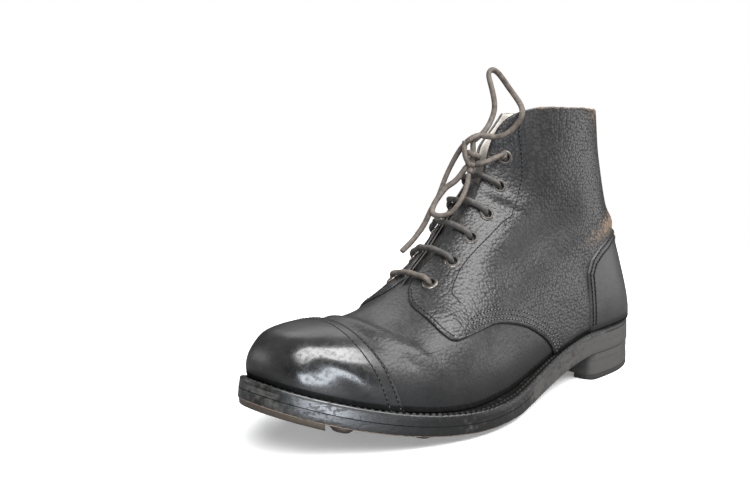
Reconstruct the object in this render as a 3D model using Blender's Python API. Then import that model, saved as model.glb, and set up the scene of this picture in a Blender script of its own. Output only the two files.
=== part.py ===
"""Left ankle boot of black leather, with an iron-shod leather sole and a laced front.

The boot stands on its heel plate and forefoot studs at z = 0, toe towards -Y, outer side towards +X.
Sizes are millimetres, stations are measured forward from the back of the sole, and meshes are metres.
"""

import math

import bmesh
import bpy
import numpy as np
from mathutils import Vector

MM = 0.001
GAP = 0.3

# Driving sizes of the sole
SOLE_LENGTH = 300.0
HEEL_BREAST = 75.0
STUD_DROP = 3.5
TOE_SPRING = 25.0
SPRING_START = 188.0
WAIST_RISE = 13.3
WAIST_START = 167.0
HEEL_SEAT_HEIGHT = 31.6
TOE_SWING = 4.5
SWING_START = 0.55
OUTSOLE_SHARE = 0.48
WELT_THICKNESS = 2.8
WELT_END = 60.0
RAND_BREAK = 1.0
HEEL_LIFTS = 3
PLATE_THICKNESS = 3.0
HEEL_PLATE_WIDTH = 13.4
TOE_PLATE_WIDTH = 15.6
TOE_PLATE_START = 278.0
PLATE_INSET = 0.6

# How far each layer's edge is set back from the welt's
OUTSOLE_INSET = 0.3
MIDSOLE_INSET = 0.7
LIFT_INSET = 0.5
RAND_INSET = 0.4

# Half outline of the sole: the first and last rows set the roundness of heel and toe
OUTLINE_COLUMNS = ("station", "outer", "inner")
OUTLINE = (
    (0, 54, 54),
    (38, 34, 34),
    (75, 37.5, 32.5),
    (115, 42, 32),
    (155, 51.5, 40),
    (200, 58, 51),
    (262, 41, 43),
    (300, 63, 66),
)

# Thickness of the whole sole edge, from the heel breast forward
EDGE_COLUMNS = ("station", "thickness")
EDGE = ((75, 14), (110, 13.5), (190, 10.5), (300, 11.5))

# Ledge that carries the upper, from the sole's edge inwards
LEDGE_COLUMNS = ("station", "inside")
LEDGES = ((0, 6.0), (60, 7.0), (110, 10.0), (170, 12.0), (300, 13.0))

# Sections of the last, toe to collar. Each lies in the plane from its keel to its ridge, across the boot.
SECTION_COLUMNS = (
    "ridge_station",
    "ridge_height",
    "keel_station",
    "keel_height",
    "outer",
    "inner",
    "belly",
    "crown",
    "seat",
)
SECTIONS = (
    (286, 22, 246, 2, 32.5, 36.5, 0.00, 2.3, 2.0),
    (293, 44, 244, 2, 34.5, 37.5, 0.00, 2.4, 2.0),
    (285, 57, 242, 2, 37.5, 39.5, 0.03, 2.5, 2.0),
    (276, 61, 238, 2, 41, 42, 0.12, 2.5, 2.1),
    (260, 62.5, 232, 1, 44.5, 44.5, 0.20, 2.4, 2.2),
    (240, 61.5, 224, 0, 48, 45.5, 0.26, 2.3, 2.3),
    (220, 64, 209, -2, 51, 45, 0.28, 2.2, 2.4),
    (200, 75, 184, -3, 51, 42, 0.27, 2.1, 2.5),
    (182, 89, 155, -3, 47, 36.5, 0.27, 2.0, 2.5),
    (166, 105, 118, 1, 41.5, 32, 0.28, 2.0, 2.4),
    (154, 119, 66, 8, 37, 31, 0.30, 2.0, 2.3),
    (146, 131, 12.5, 14, 34, 33, 0.34, 2.0, 2.3),
    (141, 142, 4.5, 42, 31.5, 32.5, 0.40, 2.0, 2.2),
    (138, 152, 18, 84, 30, 31.5, 0.44, 2.05, 2.1),
    (136, 162, 31.5, 128, 30, 31, 0.47, 2.1, 2.1),
    (134, 170.3, 38, 170, 31, 31.5, 0.49, 2.1, 2.1),
)
LAST_SECTION = len(SECTIONS) - 1

# Depths below the outside of the quarters
WALL_INSIDE = -3.0
VAMP_OUTSIDE = -1.4
CAP_INSIDE = VAMP_OUTSIDE + 0.5
CAP_OUTSIDE = 0.5
COUNTER_INSIDE = 1.0
COUNTER_OUTSIDE = 2.2
TONGUE_OUTSIDE = WALL_INSIDE - 0.8
TONGUE_INSIDE = TONGUE_OUTSIDE - 1.8

# Seams: share of the way from the ridge to the sole, and the section that the seam is at there
QUARTER_SEAM_COLUMNS = ("share", "section")
QUARTER_SEAM = (
    (0.00, 6.85),
    (0.16, 6.60),
    (0.33, 6.45),
    (0.46, 6.48),
    (0.56, 6.68),
    (0.59, 7.48),
    (0.66, 8.35),
    (0.76, 8.88),
    (0.87, 9.20),
    (1.00, 9.30),
)
CAP_SEAM_COLUMNS = ("share", "section")
CAP_SEAM = ((0.0, 4.5), (0.46, 4.36), (0.69, 4.3), (1.0, 4.05))
SEAM_SLOPE = 0.03

# Upper edge of the counter, from the back to its upright front edge
COUNTER_EDGE_COLUMNS = ("station", "height")
COUNTER_EDGE = ((0, 95), (22, 93.5), (47, 88.5), (60, 83), (70, 76.5), (75.4, 68), (76, 20))

# How far each facing's edge lies from the ridge: the inner one falls open towards the collar
SLIT_COLUMNS = ("section", "outer", "inner")
SLIT = (
    (6.85, 0.0, 0.0),
    (7.5, 4.0, 4.0),
    (8.5, 6.0, 6.5),
    (10, 7.5, 10.0),
    (12, 7.0, 18.0),
    (13.3, 9.0, 25.0),
    (14.3, 14.5, 29.0),
    (14.8, 21.0, 30.6),
    (15, 27.0, 31.2),
)

# Clearances over the welt, and the insole inside the wall
UPPER_CLEARANCE = 0.6
COVER_CLEARANCE = 0.75
INSOLE_CLEARANCE = 0.6
INSOLE_THICKNESS = 2.6
INSOLE_DEPTH = WALL_INSIDE - 2.2

# Tongue under the facings: first and last section, and half width along the section
TONGUE_START = 6.3
TONGUE_END = 10.9
TONGUE_HALF_WIDTH = 19.0

# Eyelets from the throat up: section and way in from the facing's edge, on both sides
EYELET_COLUMNS = ("outer_section", "outer_inset", "inner_section", "inner_inset")
EYELETS = (
    (7.23, 14.0, 7.23, 12.0),
    (8.10, 13.0, 8.15, 11.5),
    (8.95, 12.6, 9.10, 11.0),
    (9.90, 12.2, 10.15, 10.5),
    (11.13, 12.0, 11.70, 10.5),
    (12.48, 11.0, 13.30, 10.5),
)
EYELET_BORE = 2.4
EYELET_BARREL = 3.0
EYELET_FLANGE = 4.3
EYELET_PROUD = 1.3
EYELET_SEGMENTS = 9
EYELET_SEAT = 0.5

LACE_DIAMETER = 3.2
LACE_LIFT = 3.5
LACE_BAR_POINTS = 13
LACE_LEG_POINTS = 4

# Lace routes: across, station and height of the points that the cord passes
KNOT_CENTRE = (6, 148.5, 142)
KNOT_HALF_SIZE = (5.2, 4.4, 8.0)
KNOT_TIE = (5.5, 142.0, 142)
LOOP_UP_ROUTE = (
    (6, 148.5, 151),
    (10, 142.5, 157),
    (10, 136.5, 164),
    (10, 134, 172),
    (8, 134.6, 183),
    (6, 134, 190.5),
    (6, 127.5, 191.5),
    (8, 119.5, 183),
    (13, 117, 175),
    (26, 128.5, 167),
    (25, 132, 160),
    (20, 136, 154.6),
    (14, 140, 153.2),
    (9, 145.5, 154.5),
)
LONG_END_ROUTE = (
    (6.5, 152, 152),
    (-2, 151, 146.3),
    (-8, 153.5, 136),
    (-10, 157, 127.4),
    (-11, 161.6, 118),
    (-12, 165.7, 112),
    (-13, 170.2, 104.2),
    (-14.5, 178, 95.5),
    (-16.5, 185.8, 89),
)
LOOP_DOWN_ROUTE = (
    (4.1, 151.7, 137.2),
    (1, 157, 129.2),
    (-2, 160.9, 126.2),
    (-4, 165.4, 121.5),
    (-5, 167.5, 113.5),
    (-4, 171.5, 110.8),
    (0, 170.4, 110.2),
    (5, 166, 111.8),
    (9, 162.4, 118.3),
    (8.5, 157, 125.4),
    (7, 153.5, 132.6),
)
SHORT_END_ROUTE = ((3.2, 152.9, 141), (1.2, 155.4, 145.5), (0.6, 155.2, 150.5))

# Studs under the forefoot: across and station, in rows from the waist to the toe
STUD_PLACES = (
    (-26, 168),
    (0, 168),
    (26, 168),
    (-36, 186),
    (-12, 186),
    (14, 186),
    (40, 186),
    (-25, 205),
    (3, 205),
    (32, 205),
    (-16, 224),
    (12, 224),
    (41, 227),
    (-33, 246),
    (-5, 246),
    (23, 246),
    (-35.5, 268),
    (28, 267.5),
)
STUD_RADIUS = 5.8
STUD_TIP_RADIUS = 4.4
STUD_SIDES = 10
STUD_LENGTH = 4.1

# Rows of mesh along the pieces and columns from the ridge to the sole
TOE_ROWS = 12
WAIST_ROWS = 7
SHAFT_ROWS = 12
CAP_ROWS = 10
TONGUE_ROWS = 10
TONGUE_COLUMNS = 5
SHARES = (0, 0.08, 0.17, 0.27, 0.37, 0.47, 0.56, 0.58, 0.63, 0.7, 0.8, 0.9, 1)
COUNTER_COLUMNS = 9
COUNTER_LOW_ROWS = 7
COUNTER_HIGH_ROWS = 9
OUTLINE_STEPS = 30
HEEL_STEPS = 16
WELT_STEPS = 56
BAND_STEPS = 27
SPLINE_STEPS = 40

COLOURS = {
    "black_leather": (0.020, 0.019, 0.019, 0.42, 0.0),
    "polished_leather": (0.012, 0.012, 0.013, 0.22, 0.0),
    "sole_leather": (0.030, 0.025, 0.021, 0.40, 0.0),
    "tan_leather": (0.21, 0.145, 0.09, 0.7, 0.0),
    "worn_iron": (0.20, 0.16, 0.13, 0.45, 0.9),
    "eyelet_brass": (0.35, 0.27, 0.18, 0.4, 0.9),
    "lace_leather": (0.21, 0.18, 0.15, 0.75, 0.0),
}


def column(rows, columns, name):
    """One named column of a table as an array."""
    return np.array([row[columns.index(name)] for row in rows], float)


def spline(values, at):
    """Natural cubic spline through values at 0, 1, 2 and so on, read at the numbers in at."""
    values = np.asarray(values, float)
    count = len(values)
    system = np.eye(count)
    right = np.zeros(count)
    for i in range(1, count - 1):
        system[i, i - 1 : i + 2] = (1, 4, 1)
        right[i] = 6 * (values[i + 1] - 2 * values[i] + values[i - 1])
    bend = np.linalg.solve(system, right)
    at = np.asarray(at, float)
    i = np.clip(at.astype(int), 0, count - 2)
    after = at - i
    before = 1 - after
    straight = values[i] * before + values[i + 1] * after
    return straight + ((before**3 - before) * bend[i] + (after**3 - after) * bend[i + 1]) / 6


def smooth_through(places, values, at):
    """Natural cubic spline through values at uneven places."""
    fine = np.linspace(0, len(places) - 1, SPLINE_STEPS * len(places))
    return np.interp(at, spline(places, fine), spline(values, fine))


def side_word(side):
    """Name of a side's columns in the tables."""
    return "outer" if side > 0 else "inner"


def swing(station):
    """How far the middle line of the forefoot bends inwards."""
    share = np.clip((np.asarray(station) / SOLE_LENGTH - SWING_START) / (1 - SWING_START), 0, 1)
    return -TOE_SWING * share**2


def half_width(station, side):
    """Half width of the sole from its middle line: a half ellipse scaled by the outline table."""
    share = np.asarray(station, float) / SOLE_LENGTH
    stations = column(OUTLINE, OUTLINE_COLUMNS, "station") / SOLE_LENGTH
    widths = column(OUTLINE, OUTLINE_COLUMNS, side_word(side))
    factor = widths.copy()
    factor[1:-1] /= 2 * np.sqrt(stations[1:-1] * (1 - stations[1:-1]))
    return 2 * np.sqrt(np.clip(share * (1 - share), 0, None)) * smooth_through(stations, factor, share)


def sole_edge(angle, inset=0.0):
    """Plan point of the sole's edge, moved inwards. Angle 0 is the heel's back and pi the toe."""

    def point(turn):
        station = SOLE_LENGTH * (1 - np.cos(turn)) / 2
        side = np.where(np.sin(turn) >= 0, 1, -1)
        width = np.where(side > 0, half_width(station, 1), half_width(station, -1))
        return np.stack([swing(station) + side * width, station], -1)

    angle = np.asarray(angle, float)
    step = 1e-3
    along = point(angle + step) - point(angle - step)
    along /= np.linalg.norm(along, axis=-1, keepdims=True)
    inwards = np.stack([-along[..., 1], along[..., 0]], -1)
    return point(angle) + inwards * np.asarray(inset)[..., None]


def angle_at(station):
    """Angle of the sole's edge on the outer side at a station."""
    return math.acos(1 - 2 * station / SOLE_LENGTH)


def ground(station):
    """Height of the outsole's underside."""
    station = np.asarray(station, float)
    spring = np.clip((station - SPRING_START) / (SOLE_LENGTH - SPRING_START), 0, 1)
    waist = np.clip((WAIST_START - station) / (WAIST_START - HEEL_BREAST), 0, 1)
    eased = (waist + waist**2 * (3 - 2 * waist)) / 2
    return STUD_DROP + TOE_SPRING * spring**2 + WAIST_RISE * eased


def edge_thickness(station):
    return np.interp(station, column(EDGE, EDGE_COLUMNS, "station"), column(EDGE, EDGE_COLUMNS, "thickness"))


def feather(station):
    """Height of the welt's top and the heel seat, where the upper stands."""
    station = np.asarray(station, float)
    front = ground(station) + edge_thickness(station)
    at_breast = ground(HEEL_BREAST) + edge_thickness(HEEL_BREAST)
    back = HEEL_SEAT_HEIGHT + (at_breast - HEEL_SEAT_HEIGHT) * station / HEEL_BREAST
    return np.where(station < HEEL_BREAST, back, front)


def welt_inside(station):
    """How far in from the sole's edge the welt and the heel rand reach."""
    return np.interp(station, column(LEDGES, LEDGE_COLUMNS, "station"), column(LEDGES, LEDGE_COLUMNS, "inside"))


def outsole_top(station):
    return ground(station) + OUTSOLE_SHARE * edge_thickness(station)


def midsole_top(station):
    return feather(station) - WELT_THICKNESS - 1.5 * GAP


def last_point(section, angle):
    """Point of the last's outside. Angle 0 is the ridge, pi the keel on the outer side, -pi on the inner."""
    section, angle = np.broadcast_arrays(np.asarray(section, float), np.asarray(angle, float))
    row = {name: spline(column(SECTIONS, SECTION_COLUMNS, name), section) for name in SECTION_COLUMNS}
    turn = np.abs(angle)
    width = np.where(angle >= 0, row["outer"], row["inner"])
    belly = np.clip(row["belly"], 0, 1)
    above = np.clip(turn, 0, math.pi / 2)
    below = np.clip(turn - math.pi / 2, 0, math.pi / 2)
    crown = 2 / row["crown"]
    seat = 2 / row["seat"]
    rise_above = belly + (1 - belly) * np.clip(np.cos(above), 0, 1) ** crown
    rise_below = belly * (1 - np.clip(np.sin(below), 0, 1) ** seat)
    out_above = np.clip(np.sin(above), 0, 1) ** crown
    out_below = np.clip(np.cos(below), 0, 1) ** seat
    upper_half = turn <= math.pi / 2
    rise = np.where(upper_half, rise_above, rise_below)
    out = np.where(upper_half, out_above, out_below) * width * np.sign(angle)
    station = row["keel_station"] + (row["ridge_station"] - row["keel_station"]) * rise
    height = row["keel_height"] + (row["ridge_height"] - row["keel_height"]) * rise
    return np.stack([out + swing(station), station, height], -1)


def last_normal(section, angle):
    """Outward direction of the last's surface."""
    step = 2e-3
    section = np.asarray(section, float)
    angle = np.asarray(angle, float)
    low = np.clip(section - step, 0, LAST_SECTION)
    high = np.clip(section + step, 0, LAST_SECTION)
    round_it = last_point(section, angle + step) - last_point(section, angle - step)
    along_it = last_point(high, angle) - last_point(low, angle)
    # Stations run towards the toe, against Y, so the cross product's order is turned round.
    normal = np.cross(along_it, round_it)
    normal /= np.linalg.norm(normal, axis=-1, keepdims=True)
    return normal


def form(section, angle, depth):
    """Point on a form parallel to the last's outside."""
    return last_point(section, angle) + last_normal(section, angle) * np.asarray(depth)[..., None]


def bisect(test, low, high):
    """Where a test over arrays turns from true, at low, to false, at high."""
    low = np.array(low, float)
    high = np.array(high, float)
    for _ in range(40):
        middle = (low + high) / 2
        passed = test(middle)
        low = np.where(passed, middle, low)
        high = np.where(passed, high, middle)
    return (low + high) / 2


def clear_of_sole(section, angle, clearance):
    point = last_point(section, angle)
    return point[..., 2] > feather(point[..., 1]) + clearance


def sole_angle(section, side, clearance):
    """Angle where a section meets the sole, or pi where it passes above the heel seat."""
    section = np.asarray(section, float)
    none = 0 * section
    angle = bisect(lambda turn: clear_of_sole(section, side * turn, clearance), none, none + math.pi)
    return np.where(angle > math.pi - 1e-6, math.pi, angle)


def toe_tip(clearance):
    """Section whose ridge leaves the sole at the toe."""
    return float(bisect(lambda section: ~clear_of_sole(section, 0.0, clearance), 0.0, 2.0))


def heel_back(clearance):
    """First section whose keel is clear of the sole at the heel's back."""
    return float(bisect(lambda section: ~clear_of_sole(section, math.pi, clearance), 10.0, 13.0)) + 1e-4


def slit_angle(section, side):
    """Angle of the facing's edge, 0 where the front is closed."""
    word = side_word(side)
    half = np.interp(section, column(SLIT, SLIT_COLUMNS, "section"), column(SLIT, SLIT_COLUMNS, word))
    width = spline(column(SECTIONS, SECTION_COLUMNS, word), section)
    crown = spline(column(SECTIONS, SECTION_COLUMNS, "crown"), section)
    return np.arcsin(np.clip(half / width, 0, 1) ** (crown / 2))


WHOLE_EDGE = sole_edge(np.linspace(0, 2 * math.pi, 721))[:, 0]
X_MIDDLE = float(WHOLE_EDGE.min() + WHOLE_EDGE.max()) / 2


def metres(points):
    """Across, station and height in millimetres to the boot's frame in metres."""
    points = np.asarray(points, float)
    frame = [points[..., 0] - X_MIDDLE, SOLE_LENGTH / 2 - points[..., 1], points[..., 2]]
    return np.stack(frame, -1) * MM


def material(name):
    found = bpy.data.materials.get(name)
    if found:
        return found
    made = bpy.data.materials.new(name)
    made.use_nodes = True
    shader = made.node_tree.nodes["Principled BSDF"]
    red, green, blue, roughness, metallic = COLOURS[name]
    shader.inputs["Base Color"].default_value = (red, green, blue, 1)
    shader.inputs["Roughness"].default_value = roughness
    shader.inputs["Metallic"].default_value = metallic
    return made


def add_object(name, data, finish):
    obj = bpy.data.objects.new(name, data)
    bpy.context.scene.collection.objects.link(obj)
    obj.parent = bpy.data.objects["boot"]
    data.materials.append(material(finish))
    return obj


def mesh_object(name, points, faces, finish, smooth_angle=40):
    """Object from points in millimetres and faces, shaded smooth up to an angle."""
    mesh = bpy.data.meshes.new(name)
    mesh.from_pydata([tuple(point) for point in metres(points)], [], [tuple(map(int, face)) for face in faces])
    mesh.validate()
    mesh.shade_smooth()
    mesh.set_sharp_from_angle(angle=math.radians(smooth_angle))
    return add_object(name, mesh, finish)


def grid_faces(rows, columns, first=0, turned=False):
    """Faces of a grid of points numbered row by row."""
    faces = []
    for row in range(rows - 1):
        for place in range(columns - 1):
            a = first + row * columns + place
            face = (a, a + 1, a + columns + 1, a + columns)
            faces.append(face[::-1] if turned else face)
    return faces


def welded(points, faces, others):
    """Points that coincide made one, in other point sets too, and faces that collapse dropped."""
    # Adding zero makes a negative zero the same key as zero.
    keys = np.round(points, 3) + 0.0
    _, first, index = np.unique(keys, axis=0, return_index=True, return_inverse=True)
    index = index.reshape(-1)
    counts = np.bincount(index)[:, None]
    merged = []
    for other in others:
        total = np.zeros((len(first), 3))
        np.add.at(total, index, other)
        merged.append(total / counts)
    kept = []
    for face in faces:
        corners = [int(index[corner]) for corner in face]
        corners = [corner for i, corner in enumerate(corners) if corner != corners[i - 1]]
        if len(set(corners)) > 2:
            kept.append(tuple(corners))
    return merged, kept


def skin(outer, inner, faces):
    """Closed solid between two point sets that share faces: outside, inside and the wall round each border."""
    count = len(outer)
    used = {}
    for face in faces:
        for a, b in zip(face, face[1:] + face[:1]):
            used[a, b] = used.get((a, b), 0) + 1
    walls = [(b, a, a + count, b + count) for a, b in used if (b, a) not in used]
    inside = [tuple(corner + count for corner in face[::-1]) for face in faces]
    return np.concatenate([outer, inner]), list(faces) + inside + walls


def wall_piece(name, halves, finish):
    """Solid wall from two half grids of sections, angles and outer depths, and one inner depth."""
    outer, inner, base, faces = [], [], [], []
    first = 0
    for side, (section, angle, outside, inside) in halves:
        rows, columns = section.shape
        faces += grid_faces(rows, columns, first, turned=side < 0)
        first += rows * columns
        base.append(last_point(section, angle).reshape(-1, 3))
        outer.append(form(section, angle, outside).reshape(-1, 3))
        inner.append(form(section, angle, inside + 0 * section).reshape(-1, 3))
    sets = [np.concatenate(outer), np.concatenate(inner)]
    (outer, inner), faces = welded(np.concatenate(base), faces, sets)
    points, faces = skin(outer, inner, faces)
    return mesh_object(name, points, faces, finish)


def slowing(count):
    """Numbers from 0 to 1 with steps that shrink towards 1."""
    return 1 - (1 - np.linspace(0, 1, count)) ** 2


def seam_section(rows, columns, share):
    return np.interp(share, column(rows, columns, "share"), column(rows, columns, "section"))


def upper_half(side, clearance):
    """Sections, angles and depths of one side of the upper, with a step where the quarter laps the vamp."""
    share = np.array(SHARES)
    seam = seam_section(QUARTER_SEAM, QUARTER_SEAM_COLUMNS, share)
    tip = toe_tip(clearance)
    closing = heel_back(clearance)
    start = seam + SEAM_SLOPE
    to_heel = (closing - start[-1]) / (LAST_SECTION - start[-1])
    toe_part = np.linspace(0, 1, TOE_ROWS + 1) ** 1.6
    heel_part = to_heel * slowing(WAIST_ROWS + 1)
    shaft_part = np.linspace(to_heel, 1, SHAFT_ROWS + 1)[1:]
    vamp = tip + (seam - tip) * toe_part[:, None]
    quarter = start + (LAST_SECTION - start) * np.concatenate([heel_part, shaft_part])[:, None]
    section = np.concatenate([vamp, quarter])
    low = slit_angle(section, side)
    high = sole_angle(section, side, clearance)
    angle = side * (low + (high - low) * share)
    outside = np.where(np.arange(len(section))[:, None] < len(vamp), VAMP_OUTSIDE, 0.0) + 0 * section
    return section, angle, outside, WALL_INSIDE


def make_upper():
    halves = [(side, upper_half(side, UPPER_CLEARANCE)) for side in (1, -1)]
    upper = wall_piece("upper", halves, "black_leather")
    cutter = eyelet_hole_cutter()
    holes = upper.modifiers.new("eyelet_holes", "BOOLEAN")
    holes.operation = "DIFFERENCE"
    holes.object = cutter


def cap_half(side, clearance):
    share = np.array(SHARES)
    seam = seam_section(CAP_SEAM, CAP_SEAM_COLUMNS, share)
    tip = toe_tip(clearance)
    section = tip + (seam - tip) * (np.linspace(0, 1, CAP_ROWS) ** 1.5)[:, None]
    angle = side * sole_angle(section, side, clearance) * share
    return section, angle, CAP_OUTSIDE + 0 * section, CAP_INSIDE


def above_counter(section, angle):
    """Whether a point of the last lies above or in front of the counter's edge."""
    point = last_point(section, angle)
    stations = column(COUNTER_EDGE, COUNTER_EDGE_COLUMNS, "station")
    heights = column(COUNTER_EDGE, COUNTER_EDGE_COLUMNS, "height")
    return point[..., 2] > np.interp(point[..., 1], stations, heights)


def counter_half(side, clearance):
    """Rows of the counter: from the first section whose foot it covers to the last one at the heel's back."""
    share = np.linspace(0, 1, COUNTER_COLUMNS)
    closing = heel_back(clearance)
    foot = lambda section: side * sole_angle(section, side, clearance)
    first = float(bisect(lambda section: above_counter(section, foot(section)), closing - 3, closing))
    last = float(bisect(lambda section: ~above_counter(section, math.pi), closing, LAST_SECTION))
    lower = first + (closing - first) * slowing(COUNTER_LOW_ROWS)
    higher = closing + (last - closing) * slowing(COUNTER_HIGH_ROWS)
    rows = np.concatenate([lower, higher[1:]])
    section = rows[:, None] + 0 * share
    high = sole_angle(section, side, clearance)
    low = bisect(lambda turn: above_counter(section, side * turn), 0 * section, high)
    return section, side * (low + (high - low) * share), COUNTER_OUTSIDE + 0 * section, COUNTER_INSIDE


def tongue_half(side):
    share = np.linspace(0, 1, TONGUE_COLUMNS)
    section = np.linspace(TONGUE_START, TONGUE_END, TONGUE_ROWS)[:, None] + 0 * share
    width = spline(column(SECTIONS, SECTION_COLUMNS, side_word(side)), section)
    crown = spline(column(SECTIONS, SECTION_COLUMNS, "crown"), section)
    edge = np.arcsin((TONGUE_HALF_WIDTH / width) ** (crown / 2))
    return section, side * edge * share, TONGUE_OUTSIDE + 0 * section, TONGUE_INSIDE


def eyelet_place(number, side):
    """Section and angle of an eyelet on the facing, its own way in from the edge."""
    word = side_word(side)
    section = EYELETS[number][EYELET_COLUMNS.index(f"{word}_section")]
    inset = EYELETS[number][EYELET_COLUMNS.index(f"{word}_inset")]
    turns = float(slit_angle(section, side)) + np.linspace(0, 1.2, 400)
    path = last_point(np.full(len(turns), section), side * turns)
    walked = np.concatenate([[0], np.cumsum(np.linalg.norm(np.diff(path, axis=0), axis=1))])
    return section, side * float(np.interp(inset, walked, turns))


def direction(normal):
    """A direction in the boot's frame, where stations run against Y."""
    return Vector((normal[0], -normal[1], normal[2])).normalized()


def eyelets():
    """Name, point and outward direction of each eyelet."""
    for side in (1, -1):
        for number in range(len(EYELETS)):
            place = eyelet_place(number, side)
            yield f"eyelet_{side_word(side)}_{number + 1}", last_point(*place), last_normal(*place)


def turned_mesh(name, profile):
    """Closed ring turned about Z from a closed profile of radius and height."""
    shape = bmesh.new()
    corners = [shape.verts.new((radius * MM, 0, height * MM)) for radius, height in profile]
    edges = [shape.edges.new(pair) for pair in zip(corners, corners[1:] + corners[:1])]
    bmesh.ops.spin(
        shape,
        geom=edges,
        axis=(0, 0, 1),
        cent=(0, 0, 0),
        angle=2 * math.pi,
        steps=EYELET_SEGMENTS,
        use_merge=True,
        use_normal_flip=True,
    )
    bmesh.ops.remove_doubles(shape, verts=shape.verts, dist=1e-6)
    bmesh.ops.recalc_face_normals(shape, faces=shape.faces)
    mesh = bpy.data.meshes.new(name)
    shape.to_mesh(mesh)
    shape.free()
    mesh.shade_smooth()
    mesh.set_sharp_from_angle(angle=math.radians(40))
    return mesh


def make_eyelets():
    profile = (
        (EYELET_BORE, WALL_INSIDE),
        (EYELET_BARREL, WALL_INSIDE),
        (EYELET_BARREL, EYELET_SEAT),
        (EYELET_FLANGE, EYELET_SEAT),
        (EYELET_FLANGE - 0.8, EYELET_PROUD),
        (EYELET_BORE, EYELET_PROUD),
    )
    for name, point, normal in eyelets():
        ring = add_object(name, turned_mesh(name, profile), "eyelet_brass")
        ring.location = metres(point)
        ring.rotation_euler = direction(normal).to_track_quat("Z", "Y").to_euler()


def eyelet_hole_cutter():
    """One hidden cutter with a drill for each eyelet."""
    drills = bmesh.new()
    for _, point, normal in eyelets():
        turn = direction(normal).to_track_quat("Z", "Y").to_matrix().to_4x4()
        turn.translation = Vector(metres(point))
        radius = (EYELET_BARREL + GAP) * MM
        made = bmesh.ops.create_cone(
            drills,
            cap_ends=True,
            segments=EYELET_SEGMENTS,
            radius1=radius,
            radius2=radius,
            depth=-4 * WALL_INSIDE * MM,
        )
        bmesh.ops.transform(drills, matrix=turn, verts=made["verts"])
    mesh = bpy.data.meshes.new("eyelet_drills")
    drills.to_mesh(mesh)
    drills.free()
    cutter = add_object("eyelet_drills", mesh, "worn_iron")
    cutter.hide_render = True
    cutter.display_type = "WIRE"
    return cutter


def bar_between(name, first_plan, second_plan, low, high, finish):
    """Solid between two plan lines that run side by side, from a low to a high surface over the stations."""
    corners = []
    for plan, height in ((first_plan, low), (second_plan, low), (second_plan, high), (first_plan, high)):
        corners.append(np.column_stack([plan, height(np.clip(plan[:, 1], 0, SOLE_LENGTH))]))
    ring = np.stack(corners, 1)
    faces = []
    for row in range(len(ring) - 1):
        for place in range(4):
            a = row * 4 + place
            b = row * 4 + (place + 1) % 4
            faces.append((a, a + 4, b + 4, b))
    end = (len(ring) - 1) * 4
    faces += [(0, 1, 2, 3), (end + 3, end + 2, end + 1, end)]
    points = ring.reshape(-1, 3)
    (points,), faces = welded(points, faces, [points])
    return mesh_object(name, points, faces, finish)


def slab(name, low, high, inset, finish, last_angle=math.pi, steps=OUTLINE_STEPS):
    """Plate of the sole's outline between two heights, from the heel's back to an angle of the edge."""
    turns = np.linspace(0, last_angle, steps)
    outer, inner = (sole_edge(side * turns % (2 * math.pi), inset + 0 * turns) for side in (1, -1))
    return bar_between(name, outer, inner, low, high, finish)


def strip(name, turns, outer_inset, inner_inset, low, high, finish):
    """Band along the sole's edge between two insets and two heights."""
    outer, inner = (sole_edge(turns % (2 * math.pi), inset + 0 * turns) for inset in (outer_inset, inner_inset))
    return bar_between(name, outer, inner, low, high, finish)


def make_insole():
    """Plate that fills the foot of the upper's inside and sits on the welt."""
    tip, closing = toe_tip(INSOLE_THICKNESS), heel_back(UPPER_CLEARANCE)
    share = (1 - np.cos(np.linspace(0, math.pi, OUTLINE_STEPS))) / 2
    section = closing + (tip - closing) * share
    lines = []
    for side in (1, -1):
        angle = side * sole_angle(section, side, UPPER_CLEARANCE)
        lines.append(form(section, angle, INSOLE_DEPTH + 0 * section)[:, :2])
    lines[0][0] = lines[1][0] = (lines[0][0] + lines[1][0]) / 2
    low = lambda station: feather(station) + INSOLE_CLEARANCE
    high = lambda station: feather(station) + INSOLE_CLEARANCE + INSOLE_THICKNESS
    bar_between("insole", *lines, low, high, "tan_leather")


def constant(value):
    return lambda station: value + 0 * np.asarray(station, float)


def make_sole():
    breast = angle_at(HEEL_BREAST)
    welt_turns = np.linspace(angle_at(WELT_END), 2 * math.pi - angle_at(WELT_END), WELT_STEPS)
    rand_end = angle_at(WELT_END - RAND_BREAK)
    rand_turns = np.linspace(-rand_end, rand_end, BAND_STEPS)
    slab("outsole", ground, outsole_top, OUTSOLE_INSET, "sole_leather")
    slab("midsole", lambda station: outsole_top(station) + GAP, midsole_top, MIDSOLE_INSET, "sole_leather")

    def inside(turns):
        return welt_inside(sole_edge(turns % (2 * math.pi))[:, 1])

    welt_low = lambda station: feather(station) - WELT_THICKNESS
    strip("welt", welt_turns, 0.0, inside(welt_turns), welt_low, feather, "sole_leather")
    strip("heel_rand", rand_turns, RAND_INSET, inside(rand_turns), welt_low, feather, "sole_leather")
    heel_top = float(ground(0)) - GAP
    heel_low = PLATE_THICKNESS + GAP
    lift = (heel_top - heel_low - GAP * (HEEL_LIFTS - 1)) / HEEL_LIFTS
    for number in range(HEEL_LIFTS):
        low = heel_low + number * (lift + GAP)
        name = f"heel_lift_{number + 1}"
        slab(name, constant(low), constant(low + lift), LIFT_INSET, "sole_leather", breast, HEEL_STEPS)
    plate_turns = np.linspace(-breast, breast, BAND_STEPS)
    plate_inside = PLATE_INSET + HEEL_PLATE_WIDTH
    plate_top = constant(PLATE_THICKNESS)
    strip("heel_plate", plate_turns, PLATE_INSET, plate_inside, constant(0.0), plate_top, "worn_iron")


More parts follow.
